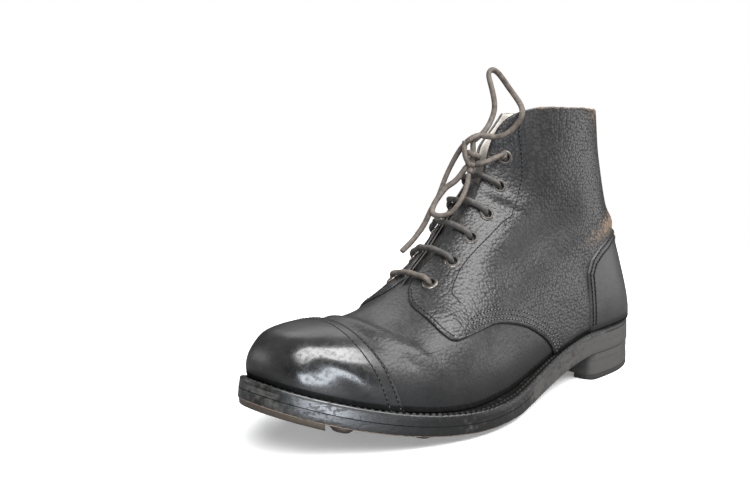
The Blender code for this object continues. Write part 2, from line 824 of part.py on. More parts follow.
def make_toe_plate():
    """Crescent iron under the toe, with rounded ends."""
    reach = np.linspace(-1, 1, BAND_STEPS)
    turns = math.pi + reach * (math.pi - angle_at(TOE_PLATE_START))
    width = PLATE_INSET + TOE_PLATE_WIDTH * np.sqrt(np.clip(1 - reach**8, 0, None))
    low = lambda station: ground(station) - GAP - PLATE_THICKNESS
    high = lambda station: ground(station) - GAP
    strip("toe_plate", turns, PLATE_INSET, PLATE_INSET + width, low, high, "worn_iron")


def make_studs():
    for number, (across, station) in enumerate(STUD_PLACES, 1):
        top = float(ground(station)) - GAP
        length = min(top, STUD_LENGTH)
        tilt = math.atan(float(ground(station + 1) - ground(station - 1)) / 2)
        shape = bmesh.new()
        bmesh.ops.create_cone(
            shape,
            cap_ends=True,
            segments=STUD_SIDES,
            radius1=STUD_TIP_RADIUS * MM,
            radius2=STUD_RADIUS * MM,
            depth=length * MM,
        )
        name = f"stud_{number:02d}"
        mesh = bpy.data.meshes.new(name)
        shape.to_mesh(mesh)
        shape.free()
        stud = add_object(name, mesh, "worn_iron")
        lean = tilt if top > length else 0.0
        middle = length / 2
        stud.rotation_euler = (-lean, 0, 0)
        stud.location = metres((across, station + middle * math.sin(lean), top - middle * math.cos(lean)))


def cord(name, route, samples):
    """Round cord through a route's points, read from a smooth curve."""
    route = np.array(route, float)
    at = np.linspace(0, len(route) - 1, samples)
    path = metres(np.column_stack([spline(route[:, axis], at) for axis in range(3)]))
    curve = bpy.data.curves.new(name, "CURVE")
    curve.dimensions = "3D"
    curve.bevel_depth = LACE_DIAMETER / 2 * MM
    curve.bevel_resolution = 1
    curve.use_fill_caps = True
    line = curve.splines.new("POLY")
    line.points.add(samples - 1)
    for point, place in zip(line.points, path):
        point.co = (*place, 1)
    return add_object(name, curve, "lace_leather")


def lace_bar_route(number):
    """Points of a lace bar: over one facing to its edge, straight across the gap and over the other."""
    legs = []
    for side in (1, -1):
        section, turn = eyelet_place(number, side)
        turns = np.linspace(turn, side * float(slit_angle(section, side)), LACE_LEG_POINTS)
        legs.append(form(np.full(len(turns), section), turns, np.full(len(turns), LACE_LIFT)))
    outer, inner = legs
    crossing = outer[-1] + np.linspace(0, 1, LACE_LEG_POINTS)[1:-1, None] * (inner[-1] - outer[-1])
    # The top bar is caught behind the knot.
    if number == len(EYELETS) - 1:
        crossing = np.array([KNOT_TIE], float)
    return np.concatenate([outer, crossing, inner[::-1]])


def make_laces():
    for number in range(len(EYELETS)):
        cord(f"lace_bar_{number + 1}", lace_bar_route(number), LACE_BAR_POINTS)
    knot = bmesh.new()
    bmesh.ops.create_icosphere(knot, subdivisions=1, radius=1.0)
    mesh = bpy.data.meshes.new("lace_knot")
    knot.to_mesh(mesh)
    knot.free()
    lump = add_object("lace_knot", mesh, "lace_leather")
    lump.scale = [half * MM for half in KNOT_HALF_SIZE]
    lump.location = metres(KNOT_CENTRE)
    cord("lace_loop_up", LOOP_UP_ROUTE, 27)
    cord("lace_loop_down", LOOP_DOWN_ROUTE, 18)
    cord("lace_end_long", LONG_END_ROUTE, 16)
    cord("lace_end_short", SHORT_END_ROUTE, 4)


def main():
    for obj in list(bpy.data.objects):
        bpy.data.objects.remove(obj)
    boot = bpy.data.objects.new("boot", None)
    bpy.context.scene.collection.objects.link(boot)
    make_sole()
    make_insole()
    make_toe_plate()
    make_studs()
    make_upper()
    wall_piece("toe_cap", [(side, cap_half(side, COVER_CLEARANCE)) for side in (1, -1)], "polished_leather")
    wall_piece("counter", [(side, counter_half(side, COVER_CLEARANCE)) for side in (1, -1)], "black_leather")
    wall_piece("tongue", [(side, tongue_half(side)) for side in (1, -1)], "black_leather")
    make_eyelets()
    make_laces()


main()
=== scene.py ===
"""Left military ankle boot in black leather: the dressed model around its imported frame.

Lengths are millimetres of (across, station, height) until a mesh is made. Stations run forward from the back
of the sole, heights run up from the ground, and across is positive on the outer side of the foot.
"""

import logging
import math
from dataclasses import dataclass, field
from enum import Enum
from typing import Any, Callable, Sequence

import bmesh
import bpy
import numpy as np
from mathutils import Matrix, Vector


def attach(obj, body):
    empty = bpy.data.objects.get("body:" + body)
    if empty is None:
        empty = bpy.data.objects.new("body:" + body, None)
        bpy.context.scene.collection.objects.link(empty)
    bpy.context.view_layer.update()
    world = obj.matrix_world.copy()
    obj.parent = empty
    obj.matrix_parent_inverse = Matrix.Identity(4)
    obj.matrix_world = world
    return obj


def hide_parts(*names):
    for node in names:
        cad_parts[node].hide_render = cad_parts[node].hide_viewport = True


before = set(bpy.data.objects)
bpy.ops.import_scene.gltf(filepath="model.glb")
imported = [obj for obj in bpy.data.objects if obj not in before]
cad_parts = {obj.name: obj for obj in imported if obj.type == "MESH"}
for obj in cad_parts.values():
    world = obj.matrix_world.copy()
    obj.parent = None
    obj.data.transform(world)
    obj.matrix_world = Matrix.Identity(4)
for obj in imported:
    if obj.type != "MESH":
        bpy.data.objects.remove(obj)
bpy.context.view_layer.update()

Array = np.ndarray
Colour = tuple[float, float, float]
Point = tuple[float, float, float]
Span = tuple[float, float]
Eased = tuple[int, float]
Route = tuple[Point, ...]
Height = Callable[[Array], Array]
Faces = list[tuple[int, ...]]

MM = 0.001
BODY = "root"
LOG = logging.getLogger("boot")
FULL_TURN = 2 * math.pi
SHARP_DEGREES = 50.0
WELT_SHARP_DEGREES = 60.0


class Side(Enum):
    """Outer or inner side of the foot, as the sign of the across axis."""

    OUTER = 1
    INNER = -1

    @property
    def word(self) -> str:
        """Name of this side's column in the tables."""
        return self.name.lower()


class Slot(Enum):
    """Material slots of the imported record."""

    BLACK = "black_leather"
    POLISHED = "polished_leather"
    SOLE = "sole_leather"
    TAN = "tan_leather"
    IRON = "worn_iron"
    BRASS = "eyelet_brass"
    LACE = "lace_leather"


def spline(values: Array, at: Array) -> Array:
    """Natural cubic spline through values at 0, 1, 2 and so on.

    Args:
        values: The numbers to pass through.
        at: Where to read, in steps of the values.

    Returns:
        The spline's value at each place.
    """
    values = np.asarray(values, float)
    count = len(values)
    system = np.eye(count)
    right = np.zeros(count)
    for i in range(1, count - 1):
        system[i, i - 1 : i + 2] = (1, 4, 1)
        right[i] = 6 * (values[i + 1] - 2 * values[i] + values[i - 1])
    bend = np.linalg.solve(system, right)
    at = np.asarray(at, float)
    i = np.clip(at.astype(int), 0, count - 2)
    after = at - i
    before = 1 - after
    straight = values[i] * before + values[i + 1] * after
    return straight + ((before**3 - before) * bend[i] + (after**3 - after) * bend[i + 1]) / 6


def smooth_through(places: Array, values: Array, at: Array) -> Array:
    """Natural cubic spline through values at uneven places, read at the numbers in at."""
    fine = np.linspace(0, len(places) - 1, 40 * len(places))
    return np.interp(at, spline(places, fine), spline(values, fine))


def smooth_route(points: Sequence[Sequence[float]], count: int) -> Array:
    """Smooth line of count points through the given ones."""
    table = np.array(points, float)
    at = np.linspace(0, len(table) - 1, count)
    return np.column_stack([spline(table[:, axis], at) for axis in range(table.shape[1])])


def smooth_step(value: Array, low: float, high: float) -> Array:
    """0 below low, 1 above high and a soft rise between them."""
    share = np.clip((np.asarray(value, float) - low) / (high - low), 0, 1)
    return share * share * (3 - 2 * share)


def fade(value: Array, low: float, high: float) -> Array:
    """1 below low, 0 above high and a soft fall between them."""
    return 1 - smooth_step(value, low, high)


def unit(vectors: Array) -> Array:
    """Vectors scaled to length 1."""
    return vectors / np.linalg.norm(vectors, axis=-1, keepdims=True)


def walked(line: Array) -> Array:
    """Length of a line of points from its start to each of them."""
    return np.concatenate([[0], np.cumsum(np.linalg.norm(np.diff(line, axis=0), axis=1))])


def runs(*parts: tuple[float, float, int]) -> Array:
    """Numbers of several even runs in turn, each given by its two ends and its count."""
    return np.unique(np.concatenate([np.linspace(*part) for part in parts]))


def level(height: float) -> Height:
    """A height that is the same at every station."""
    return lambda station: height + 0 * station


def spaced(count: int, ease: float) -> Array:
    """Numbers from 0 to 1 whose steps shrink at both ends, the more so the larger ease is."""
    even = np.linspace(0, 1, count)
    return (1 - ease) * even + ease * even * even * (3 - 2 * even)


def bisect(test: Callable[[Array], Array], low: Array, high: Array) -> Array:
    """Where a test over arrays turns from true, at low, to false, at high."""
    low = np.array(low, float)
    high = np.array(high, float)
    for _ in range(40):
        middle = (low + high) / 2
        passed = test(middle)
        low = np.where(passed, middle, low)
        high = np.where(passed, high, middle)
    return (low + high) / 2


@dataclass(frozen=True)
class Table:
    """Short table with named columns."""

    names: tuple[str, ...]
    rows: tuple[tuple[float, ...], ...]

    def column(self, name: str) -> Array:
        """One column as an array."""
        return np.array([row[self.names.index(name)] for row in self.rows], float)

    def read(self, at: Array, smooth: bool = False, name: str | None = None) -> Array:
        """A column, the second if unnamed, as a function of the first, in straight or smooth pieces."""
        places = self.column(self.names[0])
        values = self.column(name or self.names[1])
        return smooth_through(places, values, at) if smooth else np.interp(at, places, values)


@dataclass(frozen=True)
class SolePlan:
    """Outline and heights of the sole."""

    length: float = 300.0
    heel_breast: float = 75.0
    stud_drop: float = 3.5
    toe_spring: float = 25.0
    spring_start: float = 188.0
    waist_rise: float = 13.3
    waist_start: float = 167.0
    heel_seat: float = 31.6
    toe_swing: float = 4.5
    swing_start: float = 0.55
    outsole_share: float = 0.48
    welt_thickness: float = 2.8
    outline: Table = Table(
        ("station", "outer", "inner"),
        (
            (0, 54, 54), (38, 34, 34), (75, 37.5, 32.5), (115, 42, 32), (155, 51.5, 40), (200, 58, 51),
            (262, 41, 43), (300, 63, 66),
        ),
    )
    edge: Table = Table(("station", "thickness"), ((75, 14), (110, 13.5), (190, 10.5), (300, 11.5)))
    ledge: Table = Table(("station", "inside"), ((0, 6), (60, 7), (110, 10), (170, 12), (300, 13)))

    def swing(self, station: Array) -> Array:
        """How far the middle line of the forefoot bends inwards."""
        share = (np.asarray(station) / self.length - self.swing_start) / (1 - self.swing_start)
        return -self.toe_swing * np.clip(share, 0, 1) ** 2

    def half_width(self, station: Array, side: Side) -> Array:
        """Half width from the middle line: a half ellipse scaled by the outline table."""
        share = np.asarray(station, float) / self.length
        stations = self.outline.column("station") / self.length
        factor = self.outline.column(side.word)
        factor[1:-1] /= 2 * np.sqrt(stations[1:-1] * (1 - stations[1:-1]))
        round_part = 2 * np.sqrt(np.clip(share * (1 - share), 0, None))
        return round_part * smooth_through(stations, factor, share)

    def station(self, turn: Array) -> Array:
        """Station of the edge. Turn 0 is the heel's back and pi the toe, on the outer side first."""
        return self.length * (1 - np.cos(turn)) / 2

    def rim(self, turn: Array) -> Array:
        """Plan point of the edge at a turn."""
        station = self.station(turn)
        outer, inner = (side.value * self.half_width(station, side) for side in Side)
        return np.stack([self.swing(station) + np.where(np.sin(turn) >= 0, outer, inner), station], -1)

    def inset(self, turn: Array, inset: Array) -> Array:
        """Plan point of the edge, moved inwards square to it."""
        step = 1e-3
        along = unit(self.rim(turn + step) - self.rim(turn - step))
        inwards = np.stack([-along[..., 1], along[..., 0]], -1)
        return self.rim(turn) + inwards * np.asarray(inset, float)[..., None]

    def turn_at(self, station: float) -> float:
        """Turn of the edge on the outer side at a station."""
        return math.acos(1 - 2 * station / self.length)

    def ground(self, station: Array) -> Array:
        """Height of the outsole's underside."""
        station = np.clip(np.asarray(station, float), 0, self.length)
        spring = np.clip((station - self.spring_start) / (self.length - self.spring_start), 0, 1)
        waist = np.clip((self.waist_start - station) / (self.waist_start - self.heel_breast), 0, 1)
        eased = (waist + waist**2 * (3 - 2 * waist)) / 2
        return self.stud_drop + self.toe_spring * spring**2 + self.waist_rise * eased

    def feather(self, station: Array) -> Array:
        """Height of the welt's top and the heel seat, where the upper stands."""
        station = np.clip(np.asarray(station, float), 0, self.length)
        breast = self.heel_breast
        front = self.ground(station) + self.edge.read(station)
        at_breast = self.ground(breast) + self.edge.read(breast)
        back = self.heel_seat + (at_breast - self.heel_seat) * station / breast
        return np.where(station < breast, back, front)

    def outsole_top(self, station: Array) -> Array:
        """Height of the line between outsole and midsole."""
        return self.ground(station) + self.outsole_share * self.edge.read(station)

    def welt_low(self, station: Array) -> Array:
        """Height of the welt's underside."""
        return self.feather(station) - self.welt_thickness

    def above_welt(self, points: Array) -> Array:
        """Height of points above the welt's top."""
        return points[..., 2] - self.feather(points[..., 1])


SOLE = SolePlan()
RIM_SAMPLE = SOLE.rim(np.linspace(0, FULL_TURN, 721))[:, 0]
X_MIDDLE = float(RIM_SAMPLE.min() + RIM_SAMPLE.max()) / 2


def metres(points: Array) -> Array:
    """Across, station and height in millimetres to the frame's metres."""
    points = np.asarray(points, float)
    turned = [points[..., 0] - X_MIDDLE, SOLE.length / 2 - points[..., 1], points[..., 2]]
    return np.stack(turned, -1) * MM


@dataclass(frozen=True)
class Last:
    """The foot form that the leather is drawn over, as sections from toe to collar."""

    sections: Table = Table(
        (
            "ridge_station", "ridge_height", "keel_station", "keel_height",
            "outer", "inner", "belly", "crown", "seat",
        ),
        (
            (286, 22, 246, 2, 32.5, 36.5, 0.00, 2.3, 2.0),
            (293, 44, 244, 2, 34.5, 37.5, 0.00, 2.4, 2.0),
            (285, 57, 242, 2, 37.5, 39.5, 0.03, 2.5, 2.0),
            (276, 61, 238, 2, 41, 42, 0.12, 2.5, 2.1),
            (260, 62.5, 232, 1, 44.5, 44.5, 0.20, 2.4, 2.2),
            (240, 61.5, 224, 0, 48, 45.5, 0.26, 2.3, 2.3),
            (220, 64, 209, -2, 51, 45, 0.28, 2.2, 2.4),
            (200, 75, 184, -3, 51, 42, 0.27, 2.1, 2.5),
            (182, 89, 155, -3, 47, 36.5, 0.27, 2.0, 2.5),
            (166, 105, 118, 1, 41.5, 32, 0.28, 2.0, 2.4),
            (154, 119, 66, 8, 37, 31, 0.30, 2.0, 2.3),
            (146, 131, 12.5, 14, 34, 33, 0.34, 2.0, 2.3),
            (141, 142, 4.5, 42, 31.5, 32.5, 0.40, 2.0, 2.2),
            (138, 152, 18, 84, 30, 31.5, 0.44, 2.05, 2.1),
            (136, 162, 31.5, 128, 30, 31, 0.47, 2.1, 2.1),
            (134, 170.3, 38, 170, 31, 31.5, 0.49, 2.1, 2.1),
        ),
    )
    slit: Table = Table(
        ("section", "outer", "inner"),
        (
            (6.85, 0, 0), (7.5, 4, 4), (8.5, 6, 6.5), (10, 7.5, 10), (12, 7, 18), (13.3, 9, 25),
            (14.3, 14.5, 29), (14.8, 21, 30.6), (15, 27, 31.2),
        ),
    )

    inner_fall: float = 0.22

    @property
    def end(self) -> int:
        """Number of the collar's section."""
        return len(self.sections.rows) - 1

    def row(self, name: str, section: Array) -> Array:
        """One column read smoothly along the sections."""
        return spline(self.sections.column(name), section)

    def point(self, section: Array, angle: Array) -> Array:
        """Point of the outside.

        Args:
            section: Place along the sections, 0 at the toe.
            angle: 0 at the ridge, pi at the keel on the outer side, -pi on the inner.

        Returns:
            Across, station and height of each point.
        """
        section, angle = np.broadcast_arrays(np.asarray(section, float), np.asarray(angle, float))
        row = {name: self.row(name, section) for name in self.sections.names}
        turn = np.abs(angle)
        width = np.where(angle >= 0, row["outer"], row["inner"])
        belly = np.clip(row["belly"], 0, 1)
        above = np.clip(turn, 0, math.pi / 2)
        below = np.clip(turn - math.pi / 2, 0, math.pi / 2)
        crown = 2 / row["crown"]
        seat = 2 / row["seat"]
        rise_above = belly + (1 - belly) * np.clip(np.cos(above), 0, 1) ** crown
        rise_below = belly * (1 - np.clip(np.sin(below), 0, 1) ** seat)
        out_above = np.clip(np.sin(above), 0, 1) ** crown
        out_below = np.clip(np.cos(below), 0, 1) ** seat
        upper_half = turn <= math.pi / 2
        rise = np.where(upper_half, rise_above, rise_below)
        out = np.where(upper_half, out_above, out_below) * width * np.sign(angle)
        station = row["keel_station"] + (row["ridge_station"] - row["keel_station"]) * rise
        height = row["keel_height"] + (row["ridge_height"] - row["keel_height"]) * rise
        return np.stack([out + SOLE.swing(station), station, height], -1)

    def slopes(self, section: Array, angle: Array) -> tuple[Array, Array]:
        """Rates of change of the point along the sections and round them."""
        step = 2e-3
        section = np.asarray(section, float)
        angle = np.asarray(angle, float)
        low = np.clip(section - step, 0, self.end)
        high = np.clip(section + step, 0, self.end)
        along = (self.point(high, angle) - self.point(low, angle)) / (high - low)[..., None]
        round_it = (self.point(section, angle + step) - self.point(section, angle - step)) / (2 * step)
        return along, round_it

    def normal(self, section: Array, angle: Array) -> Array:
        """Outward direction of the surface."""
        return unit(np.cross(*self.slopes(section, angle)))

    def form(self, section: Array, angle: Array, depth: Array) -> Array:
        """Point on a form parallel to the outside."""
        lift = np.broadcast_to(np.asarray(depth, float), np.shape(section))
        return self.point(section, angle) + self.normal(section, angle) * lift[..., None]

    def shifted(self, track: Array, distance: float) -> Array:
        """A track of section and angle moved sideways over the surface.

        Args:
            track: Rows of section and angle.
            distance: Millimetres to the left of the way the track runs, seen from outside.

        Returns:
            The moved track.
        """
        moved = track.copy()
        line = self.point(*track.T)
        across = np.cross(np.gradient(line, axis=0), self.normal(*track.T))
        goal = line + distance * unit(across)
        for _ in range(3):
            along, round_it = self.slopes(*moved.T)
            miss = goal - self.point(*moved.T)
            for i in range(len(moved)):
                basis = np.column_stack([along[i], round_it[i]])
                moved[i] += np.linalg.lstsq(basis, miss[i], rcond=None)[0]
        return moved

    def clear_of_sole(self, section: Array, angle: Array, clearance: float) -> Array:
        """Whether a point is above the welt by more than a clearance."""
        return SOLE.above_welt(self.point(section, angle)) > clearance

    def sole_angle(self, section: Array, side: Side, clearance: float) -> Array:
        """Angle where a section meets the sole, or pi where it passes above the heel seat."""
        section = np.asarray(section, float)
        angle = bisect(
            lambda turn: self.clear_of_sole(section, side.value * turn, clearance),
            0 * section,
            0 * section + math.pi,
        )
        return np.where(angle > math.pi - 1e-6, math.pi, angle)

    def toe_tip(self, clearance: float) -> float:
        """Section whose ridge leaves the sole at the toe."""
        return float(bisect(lambda section: ~self.clear_of_sole(section, 0.0, clearance), 0.0, 2.0))

    def heel_back(self, clearance: float) -> float:
        """First section whose keel is clear of the sole at the heel's back."""
        passed = bisect(lambda section: ~self.clear_of_sole(section, math.pi, clearance), 10.0, 13.0)
        return float(passed) + 1e-4

    def angle_of_width(self, section: Array, side: Side, half_width: Array) -> Array:
        """Angle at which a section is a given way out from the ridge."""
        width = self.row(side.word, section)
        crown = self.row("crown", section)
        return np.arcsin(np.clip(half_width / width, 0, 1) ** (crown / 2))

    def slit_angle(self, section: Array, side: Side) -> Array:
        """Angle of the facing's edge, 0 where the front is closed."""
        half = np.clip(self.slit.read(section, smooth=True, name=side.word), 0, None)
        fall = self.inner_fall * smooth_step(section, 13.6, 15) if side is Side.INNER else 0.0
        return self.angle_of_width(section, side, half) + fall

    def from_facing(self, section: float, side: Side, inset: float) -> float:
        """Signed angle of a place on a section, a given way in from the facing's edge."""
        turns = float(self.slit_angle(np.array(section), side)) + np.linspace(0, 1.3, 400)
        path = self.point(np.full(len(turns), section), side.value * turns)
        return side.value * float(np.interp(inset, walked(path), turns))


LAST = Last()


class Value:
    """A shader socket that takes part in Python maths."""

    def __init__(self, nodes: "Nodes", socket: Any) -> None:
        """Keeps the node tree that the socket belongs to."""
        self.nodes = nodes
        self.socket = socket

    def _math(self, operation: str, first: Any, second: Any) -> "Value":
        """A Math node of two values."""
        return self.nodes.node("ShaderNodeMath", {"operation": operation}, {0: first, 1: second})

    def __add__(self, other: Any) -> "Value":
        """Sum."""
        return self._math("ADD", self, other)

    def __sub__(self, other: Any) -> "Value":
        """Difference."""
        return self._math("SUBTRACT", self, other)

    def __rsub__(self, other: Any) -> "Value":
        """Difference from a number."""
        return self._math("SUBTRACT", other, self)

    def __mul__(self, other: Any) -> "Value":
        """Product."""
        return self._math("MULTIPLY", self, other)

    __radd__ = __add__


class Nodes:
    """A tree of shader nodes."""

    def __init__(self, tree: bpy.types.NodeTree) -> None:
        """Keeps the tree."""
        self.tree = tree

    def node(
        self,
        kind: str,
        settings: dict[str, Any] | None = None,
        inputs: dict[Any, Any] | None = None,
        output: Any = 0,
    ) -> Value:
        """Adds a node.

        Args:
            kind: Blender's name of the node's type.
            settings: Attributes of the node, set first.
            inputs: Values or links of its sockets, by name or number.
            output: Name or number of the output wanted.

        Returns:
            That output.
        """
        made = self.tree.nodes.new(kind)
        for name, value in (settings or {}).items():
            setattr(made, name, value)
        for name, value in (inputs or {}).items():
            self.feed(made.inputs[name], value)
        return Value(self, made.outputs[output])

    def feed(self, socket: Any, value: Any) -> None:
        """Links a value to a socket, or sets the socket to a number or colour."""
        if isinstance(value, Value):
            self.tree.links.new(value.socket, socket)
        elif isinstance(value, tuple) and socket.type == "RGBA":
            socket.default_value = (*value, 1.0)
        else:
            socket.default_value = value


class Shader(Nodes):
    """One Principled material and the nodes that feed it."""

    def __init__(self, name: str) -> None:
        """Makes the material with its Principled shader and millimetre coordinates."""
        self.material = bpy.data.materials.new(name)
        self.material.use_nodes = True
        super().__init__(self.material.node_tree)
        self.surface = self.tree.nodes["Principled BSDF"]
        place = self.node("ShaderNodeTexCoord", output="Object")
        self.place = self.vector("SCALE", place, scale=1 / MM)

    def vector(self, operation: str, first: Any, second: Any = None, scale: float = 1.0) -> Value:
        """A Vector Math node."""
        inputs = {0: first}
        if second is not None:
            inputs[1] = second
        if operation == "SCALE":
            inputs["Scale"] = scale
        return self.node("ShaderNodeVectorMath", {"operation": operation}, inputs)

    def stretched(self, along: Point) -> Value:
        """Millimetre coordinates multiplied axis by axis."""
        return self.vector("MULTIPLY", self.place, along)

    def noise(self, size: float, detail: float = 3.0, place: Value | None = None) -> Value:
        """Noise whose lumps are about size millimetres."""
        inputs = {"Vector": place or self.place, "Scale": 1 / size, "Detail": detail, "Roughness": 0.55}
        return self.node("ShaderNodeTexNoise", {}, inputs)

    def pebbles(self, size: float) -> Value:
        """Domed cells of about size millimetres, 1 at their tops."""
        inputs = {"Vector": self.place, "Scale": 1 / size, "Randomness": 0.8}
        away = self.node("ShaderNodeTexVoronoi", {"feature": "F1"}, inputs, "Distance")
        return 1 - away * away

    def attribute(self, name: str) -> Value:
        """A number stored on the mesh's points."""
        return self.node("ShaderNodeAttribute", {"attribute_name": name}, output="Fac")

    def rise(self, value: Value, low: float, high: float) -> Value:
        """0 below low, 1 above high and a soft rise between them."""
        inputs = {"Value": value, "From Min": low, "From Max": high}
        return self.node("ShaderNodeMapRange", {"interpolation_type": "SMOOTHSTEP"}, inputs)

    def mix(self, share: Any, first: Any, second: Any) -> Value:
        """A colour between two colours."""
        return self.node("ShaderNodeMix", {"data_type": "RGBA"}, {0: share, 6: first, 7: second}, 2)

    def bump(self, height: Value, depth: float) -> Value:
        """Normal of a height that is depth millimetres from 0 to 1."""
        inputs = {"Height": height, "Distance": depth * MM, "Strength": 1.0}
        return self.node("ShaderNodeBump", {}, inputs, "Normal")

    def dress(self, **sockets: Any) -> bpy.types.Material:
        """Feeds the Principled shader's sockets, named with underscores for spaces.

        Args:
            **sockets: Values, links or numbers by socket name.

        Returns:
            The finished material.
        """
        for name, value in sockets.items():
            self.feed(self.surface.inputs[name.replace("_", " ")], value)
        return self.material


def linked(name: str, data: Any) -> bpy.types.Object:
    """A new object in the scene."""
    made = bpy.data.objects.new(name, data)
    bpy.context.scene.collection.objects.link(made)
    return made


class Finish:
    """A finish that makes its material once."""

    name: str

    def material(self) -> bpy.types.Material:
        """The finish's material, made at first use."""
        return bpy.data.materials.get(self.name) or self.paint(Shader(self.name))

    def paint(self, shader: Shader) -> bpy.types.Material:
        """Builds the nodes."""
        raise NotImplementedError


@dataclass(frozen=True)
class LeatherFinish(Finish):
    """Blackened leather with pebbled grain, worn brown and painted with shade where the mesh says so."""

    name: str
    deep: Colour = (0.021, 0.021, 0.0212)
    dusty: Colour = (0.035, 0.034, 0.034)
    worn: Colour = (0.150, 0.103, 0.061)
    speck: Colour = (0.34, 0.29, 0.23)
    black: Colour = (0.005, 0.005, 0.0052)
    grain: float = 1.9
    grain_depth: float = 0.3
    lumps: float = 0.04
    valley: float = 0.55
    roughness: float = 0.38
    specular: float = 0.42
    shine: float = 0.16
    coat: float = 0.0

    def paint(self, shader: Shader) -> bpy.types.Material:
        """Grain, dust, wear and polish of the leather, with painted shade between the pebbles and from the
        mesh.
        """
        pebbles = shader.pebbles(self.grain)
        fine = shader.noise(0.35, 2.0)
        lumps = shader.noise(4.5, 4.0)
        cloud = shader.noise(22.0, 4.0)
        polish = shader.attribute("polish")
        gloss = polish * shader.rise(shader.noise(2.2, 6.0), 0.2, 0.6)
        bare = shader.attribute("wear") + (shader.noise(2.0, 6.0) - 0.5) * 1.5
        bare = shader.rise(bare, 0.35, 0.85)
        dust = shader.rise(cloud + (lumps - 0.5) * 0.3, 0.34, 0.66)
        specks = shader.rise(shader.noise(1.1, 1.0), 0.79, 0.83)
        colour = shader.mix(dust, self.deep, self.dusty)
        # Painted shade: the hollows between the pebbles are darkened and only their tops keep the colour.
        painted_valleys = (1 - shader.rise(pebbles, 0.68, 0.95)) * (1 - polish) * self.valley
        colour = shader.mix(painted_valleys, colour, self.black)
        colour = shader.mix(polish * 0.85, colour, self.black)
        colour = shader.mix(bare, colour, self.worn)
        # Painted shade: the shade mark blackens the leather near the welt, low on the vamp and along the
        # ankle's trough.
        shade = shader.attribute("shade")
        colour = shader.mix(shade, colour, self.black)
        colour = shader.mix(specks * 0.4, colour, self.speck)
        roughness = self.roughness + (cloud - 0.5) * 0.12 + (lumps - 0.5) * 0.1
        roughness = roughness + bare * 0.3 + shade * 0.4 - gloss * self.shine
        height = pebbles * (1 - polish * 0.8) + fine * 0.1 + lumps * (self.lumps / self.grain_depth)
        return shader.dress(
            Base_Color=colour,
            Roughness=roughness,
            Normal=shader.bump(height, self.grain_depth),
            Specular_IOR_Level=self.specular,
            Coat_Weight=gloss * self.coat,
            Coat_Roughness=0.16,
        )


@dataclass(frozen=True)
class SoleFinish(Finish):
    """Stacked sole leather: waxed black edge with level scores, tan where it is worn."""

    name: str
    wax: Colour = (0.005, 0.005, 0.005)
    dusty: Colour = (0.050, 0.047, 0.044)
    worn: Colour = (0.250, 0.190, 0.135)
    roughness: float = 0.4

    def paint(self, shader: Shader) -> bpy.types.Material:
        """Scores along the edge, wax, scuffs and worn corners."""
        scores = shader.noise(1.4, 4.0, shader.stretched((0.05, 0.05, 1.0)))
        scuffs = shader.noise(3.0, 5.0)
        cloud = shader.noise(24.0, 4.0)
        bare = shader.attribute("wear") + (shader.noise(1.6, 5.0) - 0.5) * 0.9
        bare = shader.rise(bare, 0.45, 0.75)
        dust = shader.rise(cloud + (scuffs - 0.5) * 0.5 + shader.attribute("dust"), 0.6, 0.9)
        colour = shader.mix(dust, self.wax, self.dusty)
        colour = shader.mix(bare, colour, self.worn)
        roughness = self.roughness + dust * 0.22 + (scuffs - 0.5) * 0.3 + bare * 0.35
        waxed = shader.rise(scuffs + (scores - 0.5) * 0.7, 0.36, 0.48)
        return shader.dress(
            Base_Color=colour,
            Roughness=roughness,
            Normal=shader.bump(scores * 0.5 + scuffs, 0.22),
            Coat_Weight=shader.attribute("polish") * waxed,
            Coat_Roughness=0.14,
        )


@dataclass(frozen=True)
class PlainLeatherFinish(Finish):
    """Undyed leather of insole and lining, soiled by wear, with painted shade deep inside the lining."""

    name: str
    light: Colour = (0.33, 0.27, 0.20)
    soiled: Colour = (0.13, 0.095, 0.065)
    dark: Colour = (0.03, 0.026, 0.022)
    roughness: float = 0.72

    def paint(self, shader: Shader) -> bpy.types.Material:
        """Soiling, fine grain, and painted shade where the dust mark says so."""
        cloud = shader.noise(14.0, 5.0)
        colour = shader.mix(shader.rise(cloud, 0.35, 0.7), self.light, self.soiled)
        # Painted shade: on the lining the dust mark darkens the leather deeper inside the boot.
        colour = shader.mix(shader.attribute("dust"), colour, self.dark)
        height = shader.noise(0.6, 3.0) + shader.noise(4.0, 2.0) * 0.6
        return shader.dress(
            Base_Color=colour,
            Roughness=self.roughness + (cloud - 0.5) * 0.2,
            Normal=shader.bump(height, 0.14),
        )


@dataclass(frozen=True)
class MetalFinish(Finish):
    """Old metal: bright where the mesh is rubbed, dull between."""

    name: str
    bright: Colour
    dull: Colour
    patch: float = 2.5
    blotch: float = 0.5
    roughness: float = 0.42
    metallic: float = 0.85

    def paint(self, shader: Shader) -> bpy.types.Material:
        """Patches of rubbed and dull metal with fine pits."""
        patches = shader.noise(self.patch, 4.0)
        rubbed = shader.attribute("wear") + (patches - 0.5) * self.blotch
        rubbed = shader.rise(rubbed, 0.25, 0.75)
        return shader.dress(
            Base_Color=shader.mix(rubbed, self.dull, self.bright),
            Metallic=self.metallic - (1 - rubbed) * 0.3,
            Roughness=self.roughness + (1 - rubbed) * 0.15,
            Normal=shader.bump(shader.noise(0.7, 3.0) + patches, 0.06),
        )


@dataclass(frozen=True)
class ThongFinish(Finish):
    """Greyed leather of the lace, or waxed thread, with streaks along its own fibres."""

    name: str
    light: Colour
    dark: Colour
    patch: float = 2.6
    depth: float = 0.14
    roughness: float = 0.7
    specular: float = 0.4

    def paint(self, shader: Shader) -> bpy.types.Material:
        """Streaks and nap."""
        streaks = shader.noise(self.patch, 4.0)
        nap = shader.noise(0.4, 3.0)
        worn = shader.rise(streaks + (nap - 0.5) * 0.5, 0.25, 0.75)
        return shader.dress(
            Base_Color=shader.mix(worn, self.dark, self.light),
            Roughness=self.roughness,
            Specular_IOR_Level=self.specular,
            Normal=shader.bump(streaks + nap * 0.6, self.depth),
        )


